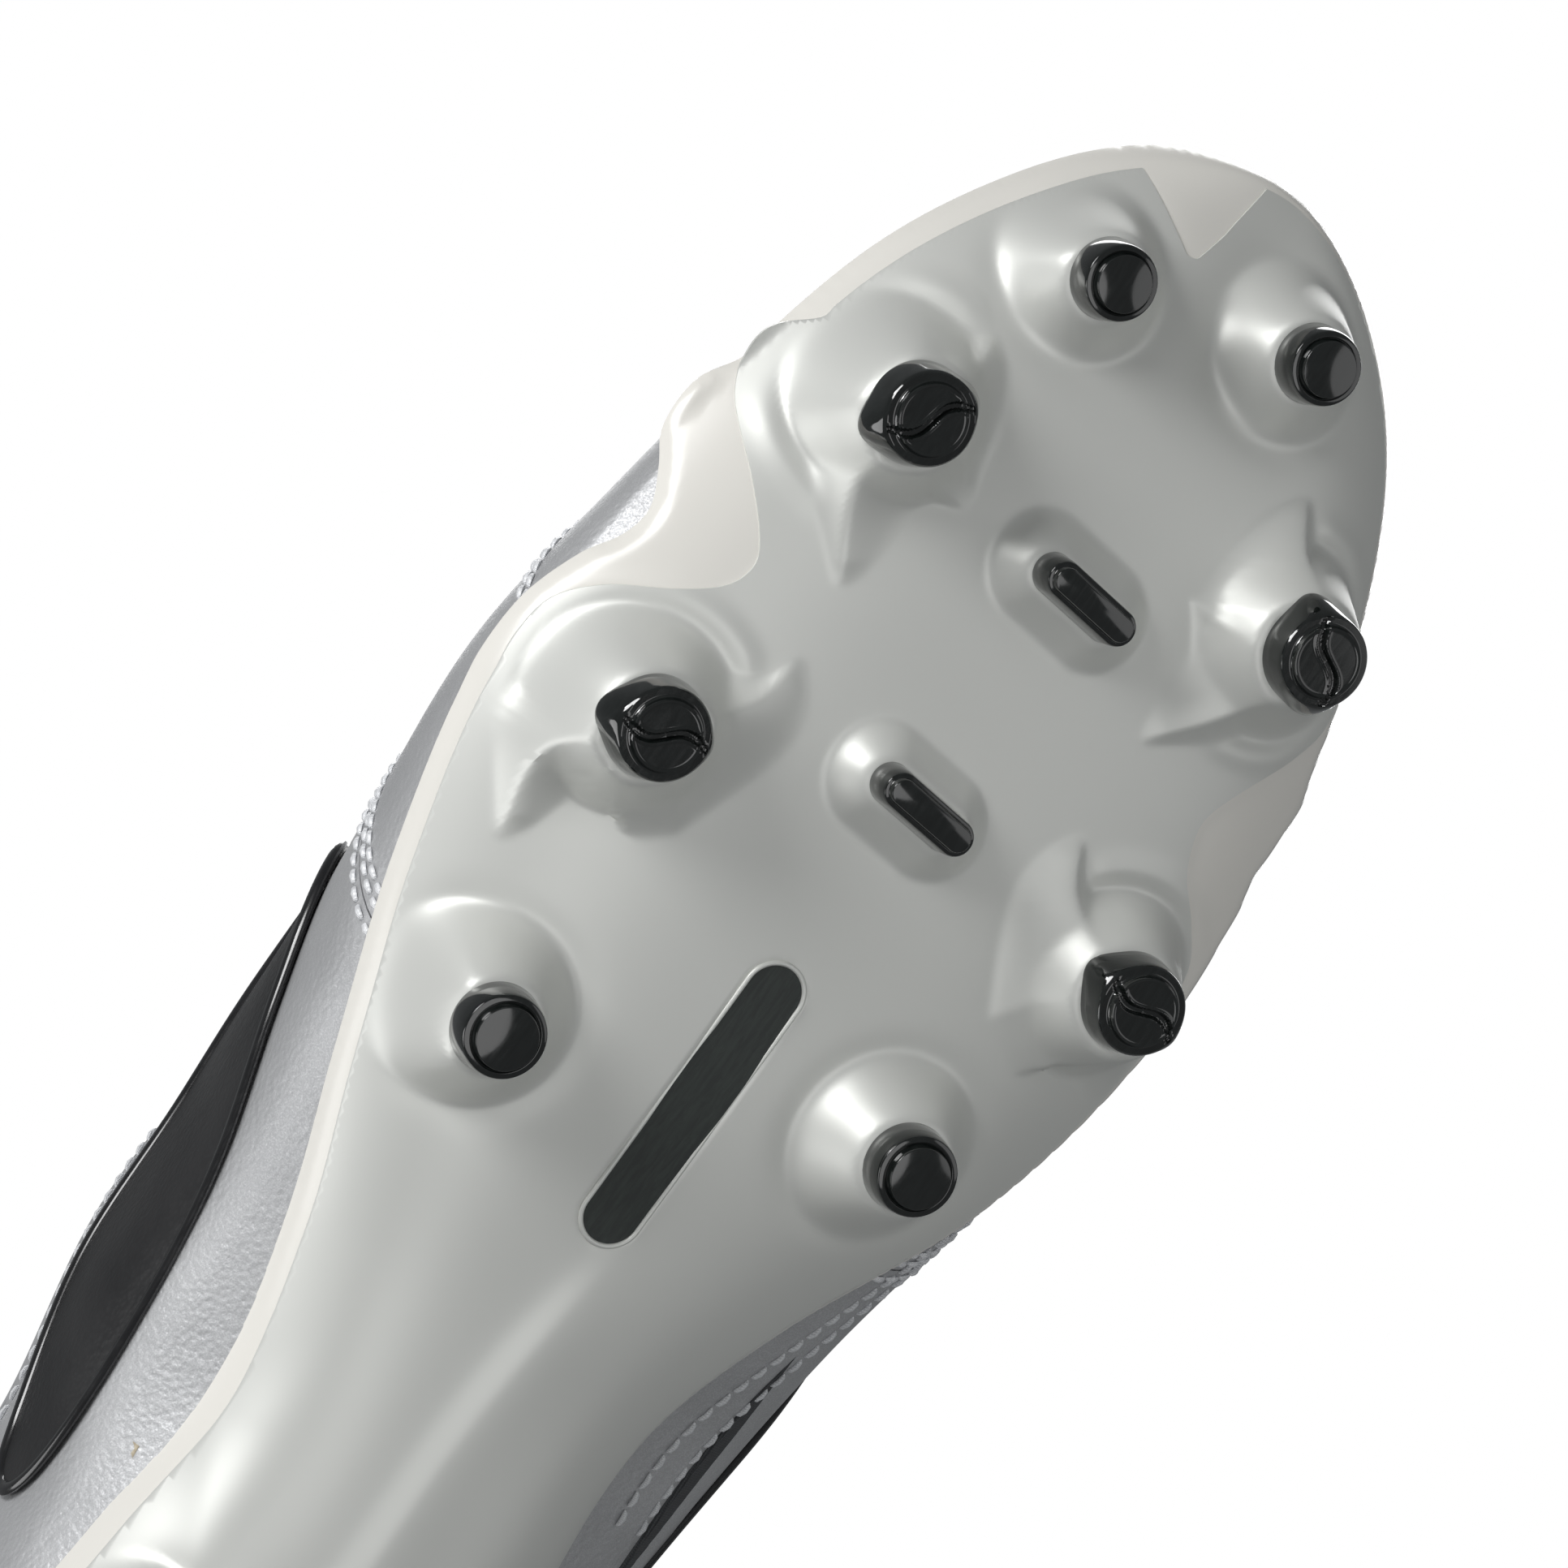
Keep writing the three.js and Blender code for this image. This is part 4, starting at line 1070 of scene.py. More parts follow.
@dataclass
class SolePlate:
    """The clear plate, the silver film under it and the inlay."""

    foot: float = 5.8
    dome: float = 13.2
    heel_dome: float = 11.0
    bar_length: float = 15.0
    bar_width: float = 5.5
    bar_turn: float = math.radians(6)
    margin: float = 1.7
    wall: float = 1.7
    rim_round: float = 1.7
    bond: float = 0.28
    lap: float = 0.75
    film_turn: float = 0.0005
    film_step: float = 0.62
    plate_step: float = 0.8
    inlay: tuple[float, float, float, float] = (-1.5, 148.0, 42.0, 8.0)
    wedge: tuple[tuple[float, float], ...] = (
        (-7, 270), (-5.5, 270.3), (-3.2, 275), (0, 284), (3, 300), (-32, 300), (-20, 279), (-13.5, 274.5)
    )
    film_lateral: tuple[tuple[float, float], ...] = (
        (-52, 184), (-51, 190), (-47, 195), (-41, 199), (-36, 203), (-34.5, 207),
        (-36, 210.5), (-40, 215.5), (-45.5, 222), (-47, 227), (-46.5, 232),
    )
    film_medial: tuple[tuple[float, float], ...] = (
        (48, 190), (46.5, 197), (42.5, 201.5), (38, 205.5), (35.5, 210), (35, 213.5),
        (37, 218), (42, 226), (45, 232), (44.5, 238),
    )
    plate_lateral: tuple[tuple[float, float], ...] = (
        (-53.5, 180), (-53, 188.5), (-50.5, 196.5), (-48, 201), (-47, 205.5), (-48.5, 210.5),
        (-50.5, 215.5), (-50, 222),
    )
    plate_medial: tuple[tuple[float, float], ...] = (
        (50.5, 196), (50, 202), (49.5, 207), (48.5, 211), (49, 216), (49.5, 222),
    )
    rim: Array = field(default_factory=lambda: np.zeros((3, 2)))

    def bar_distance(self, stud: Stud, p: Array) -> Array:
        """Distance from a bar's middle line."""
        half = (self.bar_length - self.bar_width) / 2
        a = np.array([stud.x - half * math.cos(self.bar_turn), stud.t + half * math.sin(self.bar_turn)])
        b = np.array([stud.x + half * math.cos(self.bar_turn), stud.t - half * math.sin(self.bar_turn)])
        return np.abs(nearest(p, np.array([a, b]))[0])

    def drop(self, stud: Stud, p: Array, base: Array) -> Array:
        """How far one stud's dome lowers the sole at places p.

        Args:
            stud: the stud.
            p: places in plan.
            base: the sole's height there.

        Returns:
            How far the surface goes down.
        """
        top = stud.face + STUD_TIP - 0.25
        height = base - top
        r = np.hypot(p[:, 0] - stud.x, p[:, 1] - stud.t)
        if stud.kind is Kind.BAR:
            u = np.clip((self.bar_distance(stud, p) - 3.0) / 4.6, 0, 1)
            return height * (1 - u**1.5) ** 1.8
        neck = self.foot * stud.scale + 0.3
        if stud.kind is Kind.ROUND:
            dome = (self.heel_dome if stud.t < 100 else self.dome) * stud.scale
            u = np.clip((r - neck) / (dome - neck), 0, 1)
            moat = 0.35 * np.exp(-(((r - dome + 0.6) / 2.4) ** 2))
            return height * (1 - u**1.35) ** 1.85 - moat
        line = spline(stud.crest, 10)
        signed, along = nearest(p, line)
        signed = signed * stud.swell
        middle = float(nearest(np.array([[stud.x, stud.t]]), line)[1][0])
        end = np.where(along < middle, along / middle, (1 - along) / (1 - middle))
        length = float(np.linalg.norm(np.diff(line, axis=0), axis=1).sum())
        away = np.maximum((1 - end) * np.where(along < middle, middle, 1 - middle) * length - 4.5, 0)
        far = np.where(along < middle, middle, 1 - middle) * length - 4.5
        tail = 1 - np.clip(away / far, 0, 1)
        crest = height * (0.10 * np.minimum(tail * 6, 1) + 0.90 * tail**1.7)
        wide = np.where(signed > 0, 1.2 + 14.8 * tail**0.8, 1.0 + 7.5 * tail**1.5)
        u = np.clip(np.abs(signed) / wide, 0, 1)
        soft = np.where(signed > 0, (1 - u**1.75) ** 1.7, (1 - u) ** 1.6)
        fins = crest * soft
        v = np.clip((r - neck) / (5.5 * stud.scale), 0, 1)
        hub = height * (1 - v**1.4) ** 1.5
        reach = self.dome * stud.scale
        heel_side = smooth(-signed, 0.5, 5.0)
        basin = 0.8 * np.exp(-(((r - reach + 5.0) / 3.2) ** 2)) * heel_side
        lip = 0.5 * np.exp(-(((r - reach - 0.4) / 1.7) ** 2)) * heel_side
        both = (np.maximum(fins, 0) ** 4 + np.maximum(hub, 0) ** 4) ** 0.25
        return np.minimum(both, height) - basin + lip

    def underside(self, points: Array) -> Array:
        """Height of the film's underside, with its domes, fins and creases."""
        p = points[:, :2]
        base = sole_height(p[:, 1], p[:, 0])
        total = np.zeros(len(p))
        for stud in STUDS:
            r = np.hypot(p[:, 0] - stud.x, p[:, 1] - stud.t)
            near = r < 34
            drop = np.zeros(len(p))
            drop[near] = self.drop(stud, p[near], base[near])
            total = np.where(np.abs(drop) > np.abs(total), drop, total)
        total *= smooth(inside(p, self.rim), 1.0, 8.0)
        for line, deep, wide in (
            (((4, 132), (1.5, 118), (-1, 96), (-2, 76), (-4, 58)), 0.8, 6.5),
            (((-30, 96), (-26, 84), (-21, 70), (-17, 58)), 0.7, 6.0),
        ):
            signed, along = nearest(p, spline(line))
            fade = smooth(along, 0.0, 0.3) * smooth(1 - along, 0.0, 0.15)
            total += deep * fade * np.exp(-((signed / np.where(signed > 0, wide, wide * 0.45)) ** 2))
        total -= 0.35 * smooth(self.capsule(p), -0.2, 0.2)
        return base - total

    def capsule(self, p: Array) -> Array:
        """Distance to the inlay's outline, positive inside."""
        x, t, length, width = self.inlay
        half = (length - width) / 2
        line = np.array([[x, t - half], [x, t + half]])
        return width / 2 - np.abs(nearest(p, line)[0])

    def outline(self, margin: float, lateral: Sequence, medial: Sequence) -> Array:
        """The closed plan outline of a sheet, with shaped waists beside the ball.

        Args:
            margin: how far the outline draws in.
            lateral: points of the lateral waist.
            medial: points of the medial waist.

        Returns:
            The outline's points.
        """
        at = (1 - np.cos(np.linspace(0, math.pi, 161))) / 2
        t = margin + (LENGTH - 2 * margin) * at
        out, inn = HALF_BALL * station("out", at), HALF_BALL * station("inn", at)
        half, middle = np.maximum((inn + out) / 2, 0), (inn - out) / 2
        kept = half * half / (half + margin) if margin else half
        sides = []
        for sign, waist in ((-1, lateral), (1, medial)):
            edge = np.stack([middle + sign * kept, t], axis=-1)
            knots = np.array(waist)
            outside = (edge[:, 1] < knots[0, 1] - 4) | (edge[:, 1] > knots[-1, 1] + 4)
            joined = np.vstack([edge[outside], knots])
            sides.append(spline(joined[np.argsort(joined[:, 1], kind="stable")], 4))
        return np.vstack([sides[0], sides[1][::-1]])

    def build(self) -> None:
        """Makes the film, the plate, the inlay and its lip."""
        film_edge = self.outline(self.margin, self.film_lateral, self.film_medial)
        plate_edge = self.outline(0.0, self.plate_lateral, self.plate_medial)
        self.rim = plate_edge
        wedge = np.array(self.wedge)
        self._film(film_edge, wedge)
        self._plate(plate_edge, film_edge, wedge)
        self._inlay()

    def _plan(self, step_x: float, rows: Array) -> Sheet:
        """A flat grid over the plate's box."""
        xs = np.arange(-58, 58 + step_x, step_x)
        t, x = np.meshgrid(rows, xs, indexing="ij")
        return Sheet.grid(np.stack([x, t, np.zeros_like(x)], axis=-1))

    def _film(self, edge: Array, wedge: Array) -> None:
        """The silver film with its domes and a thin turned edge."""
        rows = np.concatenate([np.arange(-1, 112, 0.9), np.arange(112, 288, 0.6)])
        sheet = self._plan(self.film_step, rows)
        sheet = sheet.clip(lambda p: inside(p[:, :2], edge)).clip(lambda p: -inside(p[:, :2], wedge))
        sheet.points[:, 2] = self.underside(sheet.points)
        sheet = sheet.facing(HIGH_ABOVE)
        obj = mesh_object("sole_film_skin", sheet.points, sheet.faces)
        near = np.minimum(inside(sheet.points[:, :2], edge), -inside(sheet.points[:, :2], wedge))
        ball = smooth(sheet.points[:, 1], 165, 190)
        band = smooth(near, 0.1, 0.6) * (1 - smooth(near, 1.5, 6.5)) * ball
        layer = obj.data.attributes.new("edge_band", "FLOAT", "POINT")
        layer.data.foreach_set("value", band.astype(np.float32))
        work = bmesh.new()
        work.from_mesh(obj.data)
        rim = [e for e in work.edges if e.is_boundary]
        made = bmesh.ops.extrude_edge_only(work, edges=rim)["geom"]
        for v in (g for g in made if isinstance(g, bmesh.types.BMVert)):
            v.co.z += self.film_turn
        work.to_mesh(obj.data)
        work.free()
        finish_mesh(obj, 50)
        place(obj, SILVER_FILM, "silver_film", "sole_film")

    def _plate(self, edge: Array, film_edge: Array, wedge: Array) -> None:
        """The clear plate with its rounded rim."""
        sheet = self._plan(
            self.plate_step, np.arange(-1, 288, self.plate_step)
        ).clip(lambda p: inside(p[:, :2], edge))
        p = sheet.points[:, :2]
        rim = inside(p, edge)
        under = np.minimum(inside(p, film_edge), -inside(p, wedge))
        r = self.rim_round
        turn = r - np.sqrt(np.maximum(r * r - np.maximum(r - rim, 0) ** 2, 0))
        sheet.points[:, 2] = self.underside(sheet.points) + self.bond + self.lap * smooth(
            under, 0.3, 2.5
        ) + turn
        sheet = sheet.facing(HIGH_ABOVE)
        place(
            sheet_object("outsole_clear_plate", sheet, self.wall, 60),
            CLEAR_PLATE,
            "clear_plate",
            "outsole_plate",
        )

    def _inlay(self) -> None:
        """The black capsule and the fine raised lip round it."""
        x, t, length, width = self.inlay
        half = (length - width) / 2
        turn = np.linspace(0, 2 * math.pi, 120, endpoint=False)
        ring = np.stack(
            [x + width / 2 * np.cos(turn),
             t + width / 2 * np.sin(turn) + half * np.sign(np.sin(turn) + 1e-9)],
            axis=-1,
        )
        rows = np.linspace(t - length / 2, t + length / 2, 90)
        cols = np.linspace(x - width / 2, x + width / 2, 22)
        tt, xx = np.meshgrid(rows, cols, indexing="ij")
        sheet = Sheet.grid(
            np.stack([xx, tt, np.zeros_like(xx)], axis=-1)
        ).clip(lambda p: self.capsule(p[:, :2]))
        sheet.points[:, 2] = sole_height(sheet.points[:, 1], sheet.points[:, 0]) - 0.02
        sheet = sheet.facing(HIGH_ABOVE)
        place(sheet_object("sole_inlay_face", sheet, 0.5), INLAY_BLACK, "inlay", "sole_inlay")
        z = sole_height(ring[:, 1], ring[:, 0]) - 0.05
        lip = tube("sole_inlay_lip", np.column_stack([ring, z]), 0.34, 8, True)
        place(lip, SILVER_FILM, "silver_film")


@dataclass
class StudSet:
    """The glossy black tips: round, split blade and bar."""

    foot: float = 5.8
    disc: float = 4.15
    bar_half_width: float = 2.75
    bar_half_run: float = 0.00475
    bar_turn: float = math.radians(-6)

    def build(self) -> None:
        """Makes every tip."""
        makers = {Kind.ROUND: self._round, Kind.BLADE: self._blade, Kind.BAR: self._bar}
        for stud in STUDS:
            place(makers[stud.kind](stud), BLACK_TPU, "stud", stud.name)

    def _start(self, stud: Stud, radius: float) -> bpy.types.Object:
        """A filled circle at the foot of a tip, facing down."""
        bpy.ops.object.select_all(action="DESELECT")
        where = world(np.array([[stud.x, stud.t, stud.face + STUD_TIP]]))[0]
        bpy.ops.mesh.primitive_circle_add(
            vertices=80, radius=radius / 1000, fill_type="NGON", location=where
        )
        obj = bpy.context.active_object
        obj.name = stud.name + "_tip"
        obj.data.name = obj.name
        bpy.ops.object.transform_apply(location=True, rotation=True, scale=True)
        bpy.ops.object.mode_set(mode="EDIT")
        bpy.ops.mesh.select_all(action="SELECT")
        return obj

    def _steps(self, obj: bpy.types.Object, steps: Sequence[tuple[float, float]]) -> bpy.types.Object:
        """Insets the face downwards step by step, then rounds the edges."""
        bpy.ops.mesh.extrude_region_move(TRANSFORM_OT_translate={"value": (0, 0, -0.0001)})
        for thick, deep in steps:
            bpy.ops.mesh.inset(thickness=abs(thick) / 1000, depth=0.0, use_outset=thick < 0)
            bpy.ops.transform.translate(value=(0, 0, -deep / 1000))
        bpy.ops.object.mode_set(mode="OBJECT")
        apply(obj, "BEVEL", width=0.00022, segments=3, limit_method="ANGLE", angle_limit=math.radians(28))
        return finish_mesh(obj, 35, True)

    def _round(self, stud: Stud) -> bpy.types.Object:
        """A round stepped tip."""
        s = stud.scale
        obj = self._start(stud, self.foot * s)
        return self._steps(
            obj,
            ((0.45 * s, 3.9), (0.18 * s, 0.5), (0.75 * s, 0.12), (0.12 * s, -0.25), (0.25 * s, 0.55),
             (0.1 * s, 0.68)),
        )

    def _bar(self, stud: Stud) -> bpy.types.Object:
        """A long bar with round ends."""
        obj = self._start(stud, self.bar_half_width)
        work = bmesh.from_edit_mesh(obj.data)
        centre = world(np.array([[stud.x, stud.t, 0.0]]))[0]
        for v in work.verts:
            v.co.x += self.bar_half_run if v.co.x > centre[0] else -self.bar_half_run
        bmesh.update_edit_mesh(obj.data)
        bpy.ops.transform.rotate(
            value=self.bar_turn, orient_axis="Z", center_override=Vector((centre[0], centre[1], 0.0))
        )
        return self._steps(obj, ((0.35, 4.2), (0.15, 0.4), (0.45, 0.1), (0.12, 0.45), (0.1, 0.3)))

    def _blade(self, stud: Stud) -> bpy.types.Object:
        """A round tip with a nose at each end of its split and a raised, parted disc."""
        s = stud.scale
        axis = np.array(stud.groove) / math.hypot(*stud.groove)
        across = np.array([-axis[1], axis[0]])
        turn = np.linspace(0, 2 * math.pi, 120, endpoint=False)
        nose = np.abs(np.cos(turn)) ** 12
        walls = [
            (self.foot * s, STUD_TIP + 0.15, 1.25),
            (self.foot * s, STUD_TIP - 0.4, 1.25),
            (self.foot * s * 0.97, 3.6, 0.95),
            (5.35 * s, 1.9, 0.55),
            (5.27 * s, 1.35, 0.28),
            (5.2 * s, 1.1, 0.15),
            (5.08 * s, 0.95, 0.05),
        ]
        rings: list[Array] = []
        for radius, z, point in walls:
            r = radius + point * nose
            rings.append(np.stack([r * np.cos(turn), r * np.sin(turn), np.full_like(turn, z)], axis=-1))
        for r in np.linspace(5.0 * s, 0.15, 42):
            u, v = r * np.cos(turn), r * np.sin(turn)
            split = np.abs(v - 0.85 * s * np.sin(math.pi * u / (4.6 * s)))
            disc = smooth(self.disc * s + 0.1 - np.hypot(u, v), 0.0, 0.35)
            parted = smooth(split, 0.28, 0.62)
            ridge_line = 0.16 * np.exp(-(((split - 0.75) / 0.16) ** 2)) + 0.16 * np.exp(
                -(((r - self.disc * s + 0.35) / 0.16) ** 2)
            )
            mouth = 0.45 * (1 - smooth(split, 0.2, 0.5)) * smooth(r, 3.6 * s, 4.4 * s)
            z = 0.85 - (0.85 - 0.12) * disc * parted - ridge_line * disc * parted + mouth
            rings.append(np.stack([u, v, z], axis=-1))
        local = np.array(rings)
        plan = local[..., 0:1] * axis + local[..., 1:2] * across
        pts = np.concatenate([plan + np.array([stud.x, stud.t]), local[..., 2:3] + stud.face], axis=-1)
        rows, cols = pts.shape[:2]
        faces = [
            (r * cols + c, r * cols + (c + 1) % cols, (r + 1) * cols + (c + 1) % cols, (r + 1) * cols + c)
            for r in range(rows - 1)
            for c in range(cols)
        ]
        faces.append(tuple(range(cols)))
        faces.append(tuple((rows - 1) * cols + c for c in range(cols)))
        return finish_mesh(mesh_object(stud.name + "_tip", pts.reshape(-1, 3), faces), 40, True)


# ---- Upper ----

VAMP_SEAM = spline(((-20, 134), (22, 142), (45, 156), (72, 175), (90, 187), (160, 190)), 12)
HEEL_SEAM = spline(((-20, 40), (22, 41), (50, 34), (90, 33), (160, 33)), 12)
COLLAR_FRONT, COLLAR_TOP, COLLAR_RISE = 112.5, 104.0, 60
TOPLINE = spline(
    ((-30, 87), (7, 87), (20, 84), (38, 76), (58, 71.5), (78, 73.5), (95, 82), (107, 93), (COLLAR_FRONT,
     COLLAR_TOP)),
    10,
)
THROAT_END = 184.0
THROAT_REAR, THROAT_BACK, THROAT_FRONT_HALF, THROAT_SPREAD = 109, 110, 7, 10
EYELET_ROWS, EYELET_PITCH, TOP_EYELET, EYELET_INSET, EYELET_HOLE = 6, 12.0, 121.0, 6.0, 2.3
CORE = np.array([0.0, 130.0, 48.0])


def seam_t(seam: Array, z: Array) -> Array:
    """Where a seam runs at a height."""
    return np.interp(z, seam[:, 0], seam[:, 1])


def top_z(t: Array) -> Array:
    """Height of the collar's edge."""
    return np.where(
        t > COLLAR_FRONT,
        COLLAR_TOP + (t - COLLAR_FRONT) * COLLAR_RISE,
        np.interp(t, TOPLINE[:, 0], TOPLINE[:, 1]),
    )


def throat_half(t: Array) -> Array:
    """Half the width between the eyelet rows."""
    return THROAT_FRONT_HALF + THROAT_SPREAD * (THROAT_END - np.asarray(t)) / (THROAT_END - THROAT_BACK)


def throat_gap(p: Array) -> Array:
    """Distance outside the throat's edge, in plan."""
    front = THROAT_END - throat_half(np.array(THROAT_END))
    straight = np.abs(p[:, 0] - spine(p[:, 1])) - throat_half(p[:, 1])
    round_end = np.hypot(p[:, 0] - spine(np.array(THROAT_END)), p[:, 1] - front) - THROAT_FRONT_HALF
    gap = np.where(p[:, 1] > front, np.maximum(round_end, straight), straight)
    return np.maximum(gap, THROAT_REAR - p[:, 1])


SAMPLES = 500
HALF_SAMPLES = SAMPLES // 2


class Section:
    """One cross-section of the upper, for walking round it."""

    def __init__(self, t: float, inset: float) -> None:
        """Samples the section at t and an inset."""
        self.angle = np.linspace(0.01, math.pi - 0.01, SAMPLES)
        at = max((t - inset) / (LENGTH - 2 * inset), 0.0)
        self.points = over_point(np.full(SAMPLES, at), self.angle, inset)
        step = np.linalg.norm(np.diff(self.points[:, [0, 2]], axis=0), axis=1)
        self.walk = np.concatenate([[0], np.cumsum(step)])

    def at_walk(self, distance: float) -> Array:
        """The point at a distance round the section from its medial seat."""
        return np.array([np.interp(distance, self.walk, self.points[:, k]) for k in range(3)])

    def walk_at_x(self, x: float) -> float:
        """The walked distance at which the section's upper part lies at x."""
        low = (self.points[:, 2] < self.points[:, 2].max() * 0.6) * 50
        return float(self.walk[np.argmin(np.abs(self.points[:, 0] - x) + low)])

    def at_topline(self, side: int, below: float) -> Array | None:
        """Where one side meets the collar's edge, or nothing where the section stays under it."""
        rows = self.points[:HALF_SAMPLES] if side > 0 else self.points[HALF_SAMPLES:][::-1]
        over = rows[:, 2] - top_z(rows[:, 1]) + below
        if over.max() < 0:
            return None
        i = max(int(np.argmax(over >= 0)), 1)
        u = over[i - 1] / (over[i - 1] - over[i])
        return rows[i - 1] * (1 - u) + rows[i] * u

    def at_height(self, z: float, side: int) -> Array:
        """The wall's point at a height on one side."""
        rows = self.points[:HALF_SAMPLES] if side > 0 else self.points[HALF_SAMPLES:][::-1]
        return np.array([np.interp(z, rows[:, 2], rows[:, k]) for k in range(3)])


def across_throat(t: float, share: float, inset: float) -> Array:
    """A place across the throat, -1 at its lateral edge and 1 at its medial edge.

    Args:
        t: distance forward from the heel.
        share: the place across.
        inset: depth below the outer face.

    Returns:
        The point.
    """
    s = Section(t, inset)
    return s.at_walk(s.walk_at_x(float(spine(np.array(t)) + share * throat_half(t))))


def beside_throat(t: float, side: int, distance: float, inset: float) -> Array:
    """A place a distance round the upper from the throat's edge.

    Args:
        t: distance forward from the heel.
        side: -1 lateral, 1 medial.
        distance: how far from the edge.
        inset: depth below the outer face.

    Returns:
        The point.
    """
    s = Section(t, inset)
    edge = s.walk_at_x(float(spine(np.array(t)) + side * throat_half(t)))
    return s.at_walk(edge - side * distance)


def eyelet_t(row: int) -> float:
    """Where an eyelet pair lies; row 0 is nearest the toe."""
    return TOP_EYELET + EYELET_PITCH * (EYELET_ROWS - 1 - row)


@dataclass
class Upper:
    """The leather shell, its overlays, its stitching and its linings."""

    rows: int = 300
    cols: int = 130
    overlay_width: float = 9.5
    turned: float = 5.0
    wall: float = 1.4
    overlay_wall: float = 0.9
    panel_wall: float = 0.8
    panel_power: float = 2.2
    stitch_pitch: float = 2.9
    stitch_start: float = 0.2
    stitch_end: float = 2.6
    panel: tuple[float, float, float, float, float] = (103.0, 53.0, 46.0, 14.0, 0.13)

    def skin(self, inset: float, rows: int = 0, cols: int = 0) -> Sheet:
        """The closed form's surface above the sole.

        Args:
            inset: depth below the outer face.
            rows: rows along the boot, or 0 for the usual number.
            cols: points round it, or 0 for the usual number.

        Returns:
            The surface as a sheet.
        """
        n, m = rows or self.rows, cols or self.cols
        at = (1 - np.cos(np.linspace(0.004, math.pi - 0.004, n))) / 2
        angle = np.linspace(0, math.pi, m)
        a, b = np.meshgrid(at, angle, indexing="ij")
        points = over_point(a, b, inset).reshape(n, m, 3)
        points[[0, -1], :, 0] = points[[0, -1], :, 0].mean(axis=1, keepdims=True)
        if inset:
            return Sheet.grid(points)
        under = points[:, [0, -1]].copy()
        middle = under[..., 0].mean(axis=1, keepdims=True)
        reach = np.abs(under[..., 0] - middle)
        under[..., 0] = middle + (under[..., 0] - middle) * np.maximum(
            reach - self.turned, 0.2
        ) / np.maximum(reach, 0.3)
        under[..., 2] = np.minimum(
            sole_height(under[..., 1], under[..., 0]) + UPPER_SEAT + 0.1, under[..., 2] - 0.05
        )
        return Sheet.grid(np.concatenate([under[:, :1], points, under[:, 1:]], axis=1))

    def holes(self, sheet: Sheet, radius: float) -> Sheet:
        """The sheet with its eyelets punched.

        Args:
            sheet: the sheet to punch.
            radius: the radius of a hole.

        Returns:
            The punched sheet.
        """
        for row in range(EYELET_ROWS):
            for side in (-1, 1):
                a = beside_throat(eyelet_t(row), side, EYELET_INSET, -1.0)
                b = beside_throat(eyelet_t(row), side, EYELET_INSET, 3.0)
                d = (a - b) / np.linalg.norm(a - b)

                def gap(p: Array, a: Array = a, d: Array = d) -> Array:
                    """Distance outside one eyelet's wall."""
                    rel = p - a
                    off = rel - (rel @ d)[:, None] * d
                    return np.linalg.norm(off, axis=1) - radius

                sheet = sheet.clip(gap)
        return sheet

    def build(self) -> None:
        """Makes the shell, overlays, stitching and linings."""
        base = self.skin(0.0).clip(lambda p: p[:, 2] - sole_height(p[:, 1], p[:, 0]) - UPPER_SEAT + 1.2)
        base = base.clip(lambda p: top_z(p[:, 1]) - p[:, 2]).clip(throat_gap)
        vamp = base.clip(lambda p: p[:, 1] - seam_t(VAMP_SEAM, p[:, 2]) - SEAM_GAP)
        behind = base.clip(lambda p: seam_t(VAMP_SEAM, p[:, 2]) - SEAM_GAP - p[:, 1])
        heel = behind.clip(lambda p: seam_t(HEEL_SEAM, p[:, 2]) - SEAM_GAP - p[:, 1])
        quarters = behind.clip(lambda p: p[:, 1] - seam_t(HEEL_SEAM, p[:, 2]) - SEAM_GAP)
        place(
            sheet_object("vamp_leather", self.holes(vamp, EYELET_HOLE).facing(CORE), self.wall),
            SILVER_LEATHER,
            "leather",
            "vamp",
        )
        place(
            sheet_object("heel_cover_leather", heel.facing(CORE), self.wall),
            SILVER_LEATHER,
            "leather",
            "heel_cover",
        )
        for side, name in ((-1, "lateral"), (1, "medial")):
            part = quarters.clip(lambda p, s=side: s * (p[:, 0] - spine(p[:, 1])))
            obj = sheet_object(
                name + "_quarter_leather", self.holes(part, EYELET_HOLE).facing(CORE), self.wall
            )
            place(obj, SILVER_LEATHER, "leather", name + "_quarter")
            self._eyestay(side, name)
            self._panel(side, name)
            self._stitching(side, name)
        self._linings()

    def _eyestay(self, side: int, name: str) -> None:
        """The eyelet strip."""
        sheet = self.skin(-1.0, 340, 160).clip(lambda p: side * (p[:, 0] - spine(p[:, 1])))
        sheet = sheet.clip(lambda p: throat_gap(p) - 0.6).clip(
            lambda p: 0.6 + self.overlay_width - throat_gap(p)
        )
        sheet = sheet.clip(lambda p: p[:, 1] - 113.5).clip(lambda p: THROAT_END + 2 - p[:, 1]).clip(
            lambda p: top_z(p[:, 1]) - 1 - p[:, 2]
        )
        obj = sheet_object(
            name + "_eyestay_strip", self.holes(sheet, EYELET_HOLE).facing(CORE), self.overlay_wall
        )
        place(obj, OVERLAY_LEATHER, "eyestay", name + "_eyestay")

    def panel_gap(self, p: Array) -> Array:
        """Distance inside the side panel's outline, in side view."""
        t, z, long, high, tilt = self.panel
        u = (p[:, 1] - t) * math.cos(tilt) + (p[:, 2] - z) * math.sin(tilt)
        v = -(p[:, 1] - t) * math.sin(tilt) + (p[:, 2] - z) * math.cos(tilt)
        r = (
            (np.abs(u) / long) ** self.panel_power + (np.abs(v) / high) ** self.panel_power
        ) ** (1 / self.panel_power)
        return (1 - r) * high

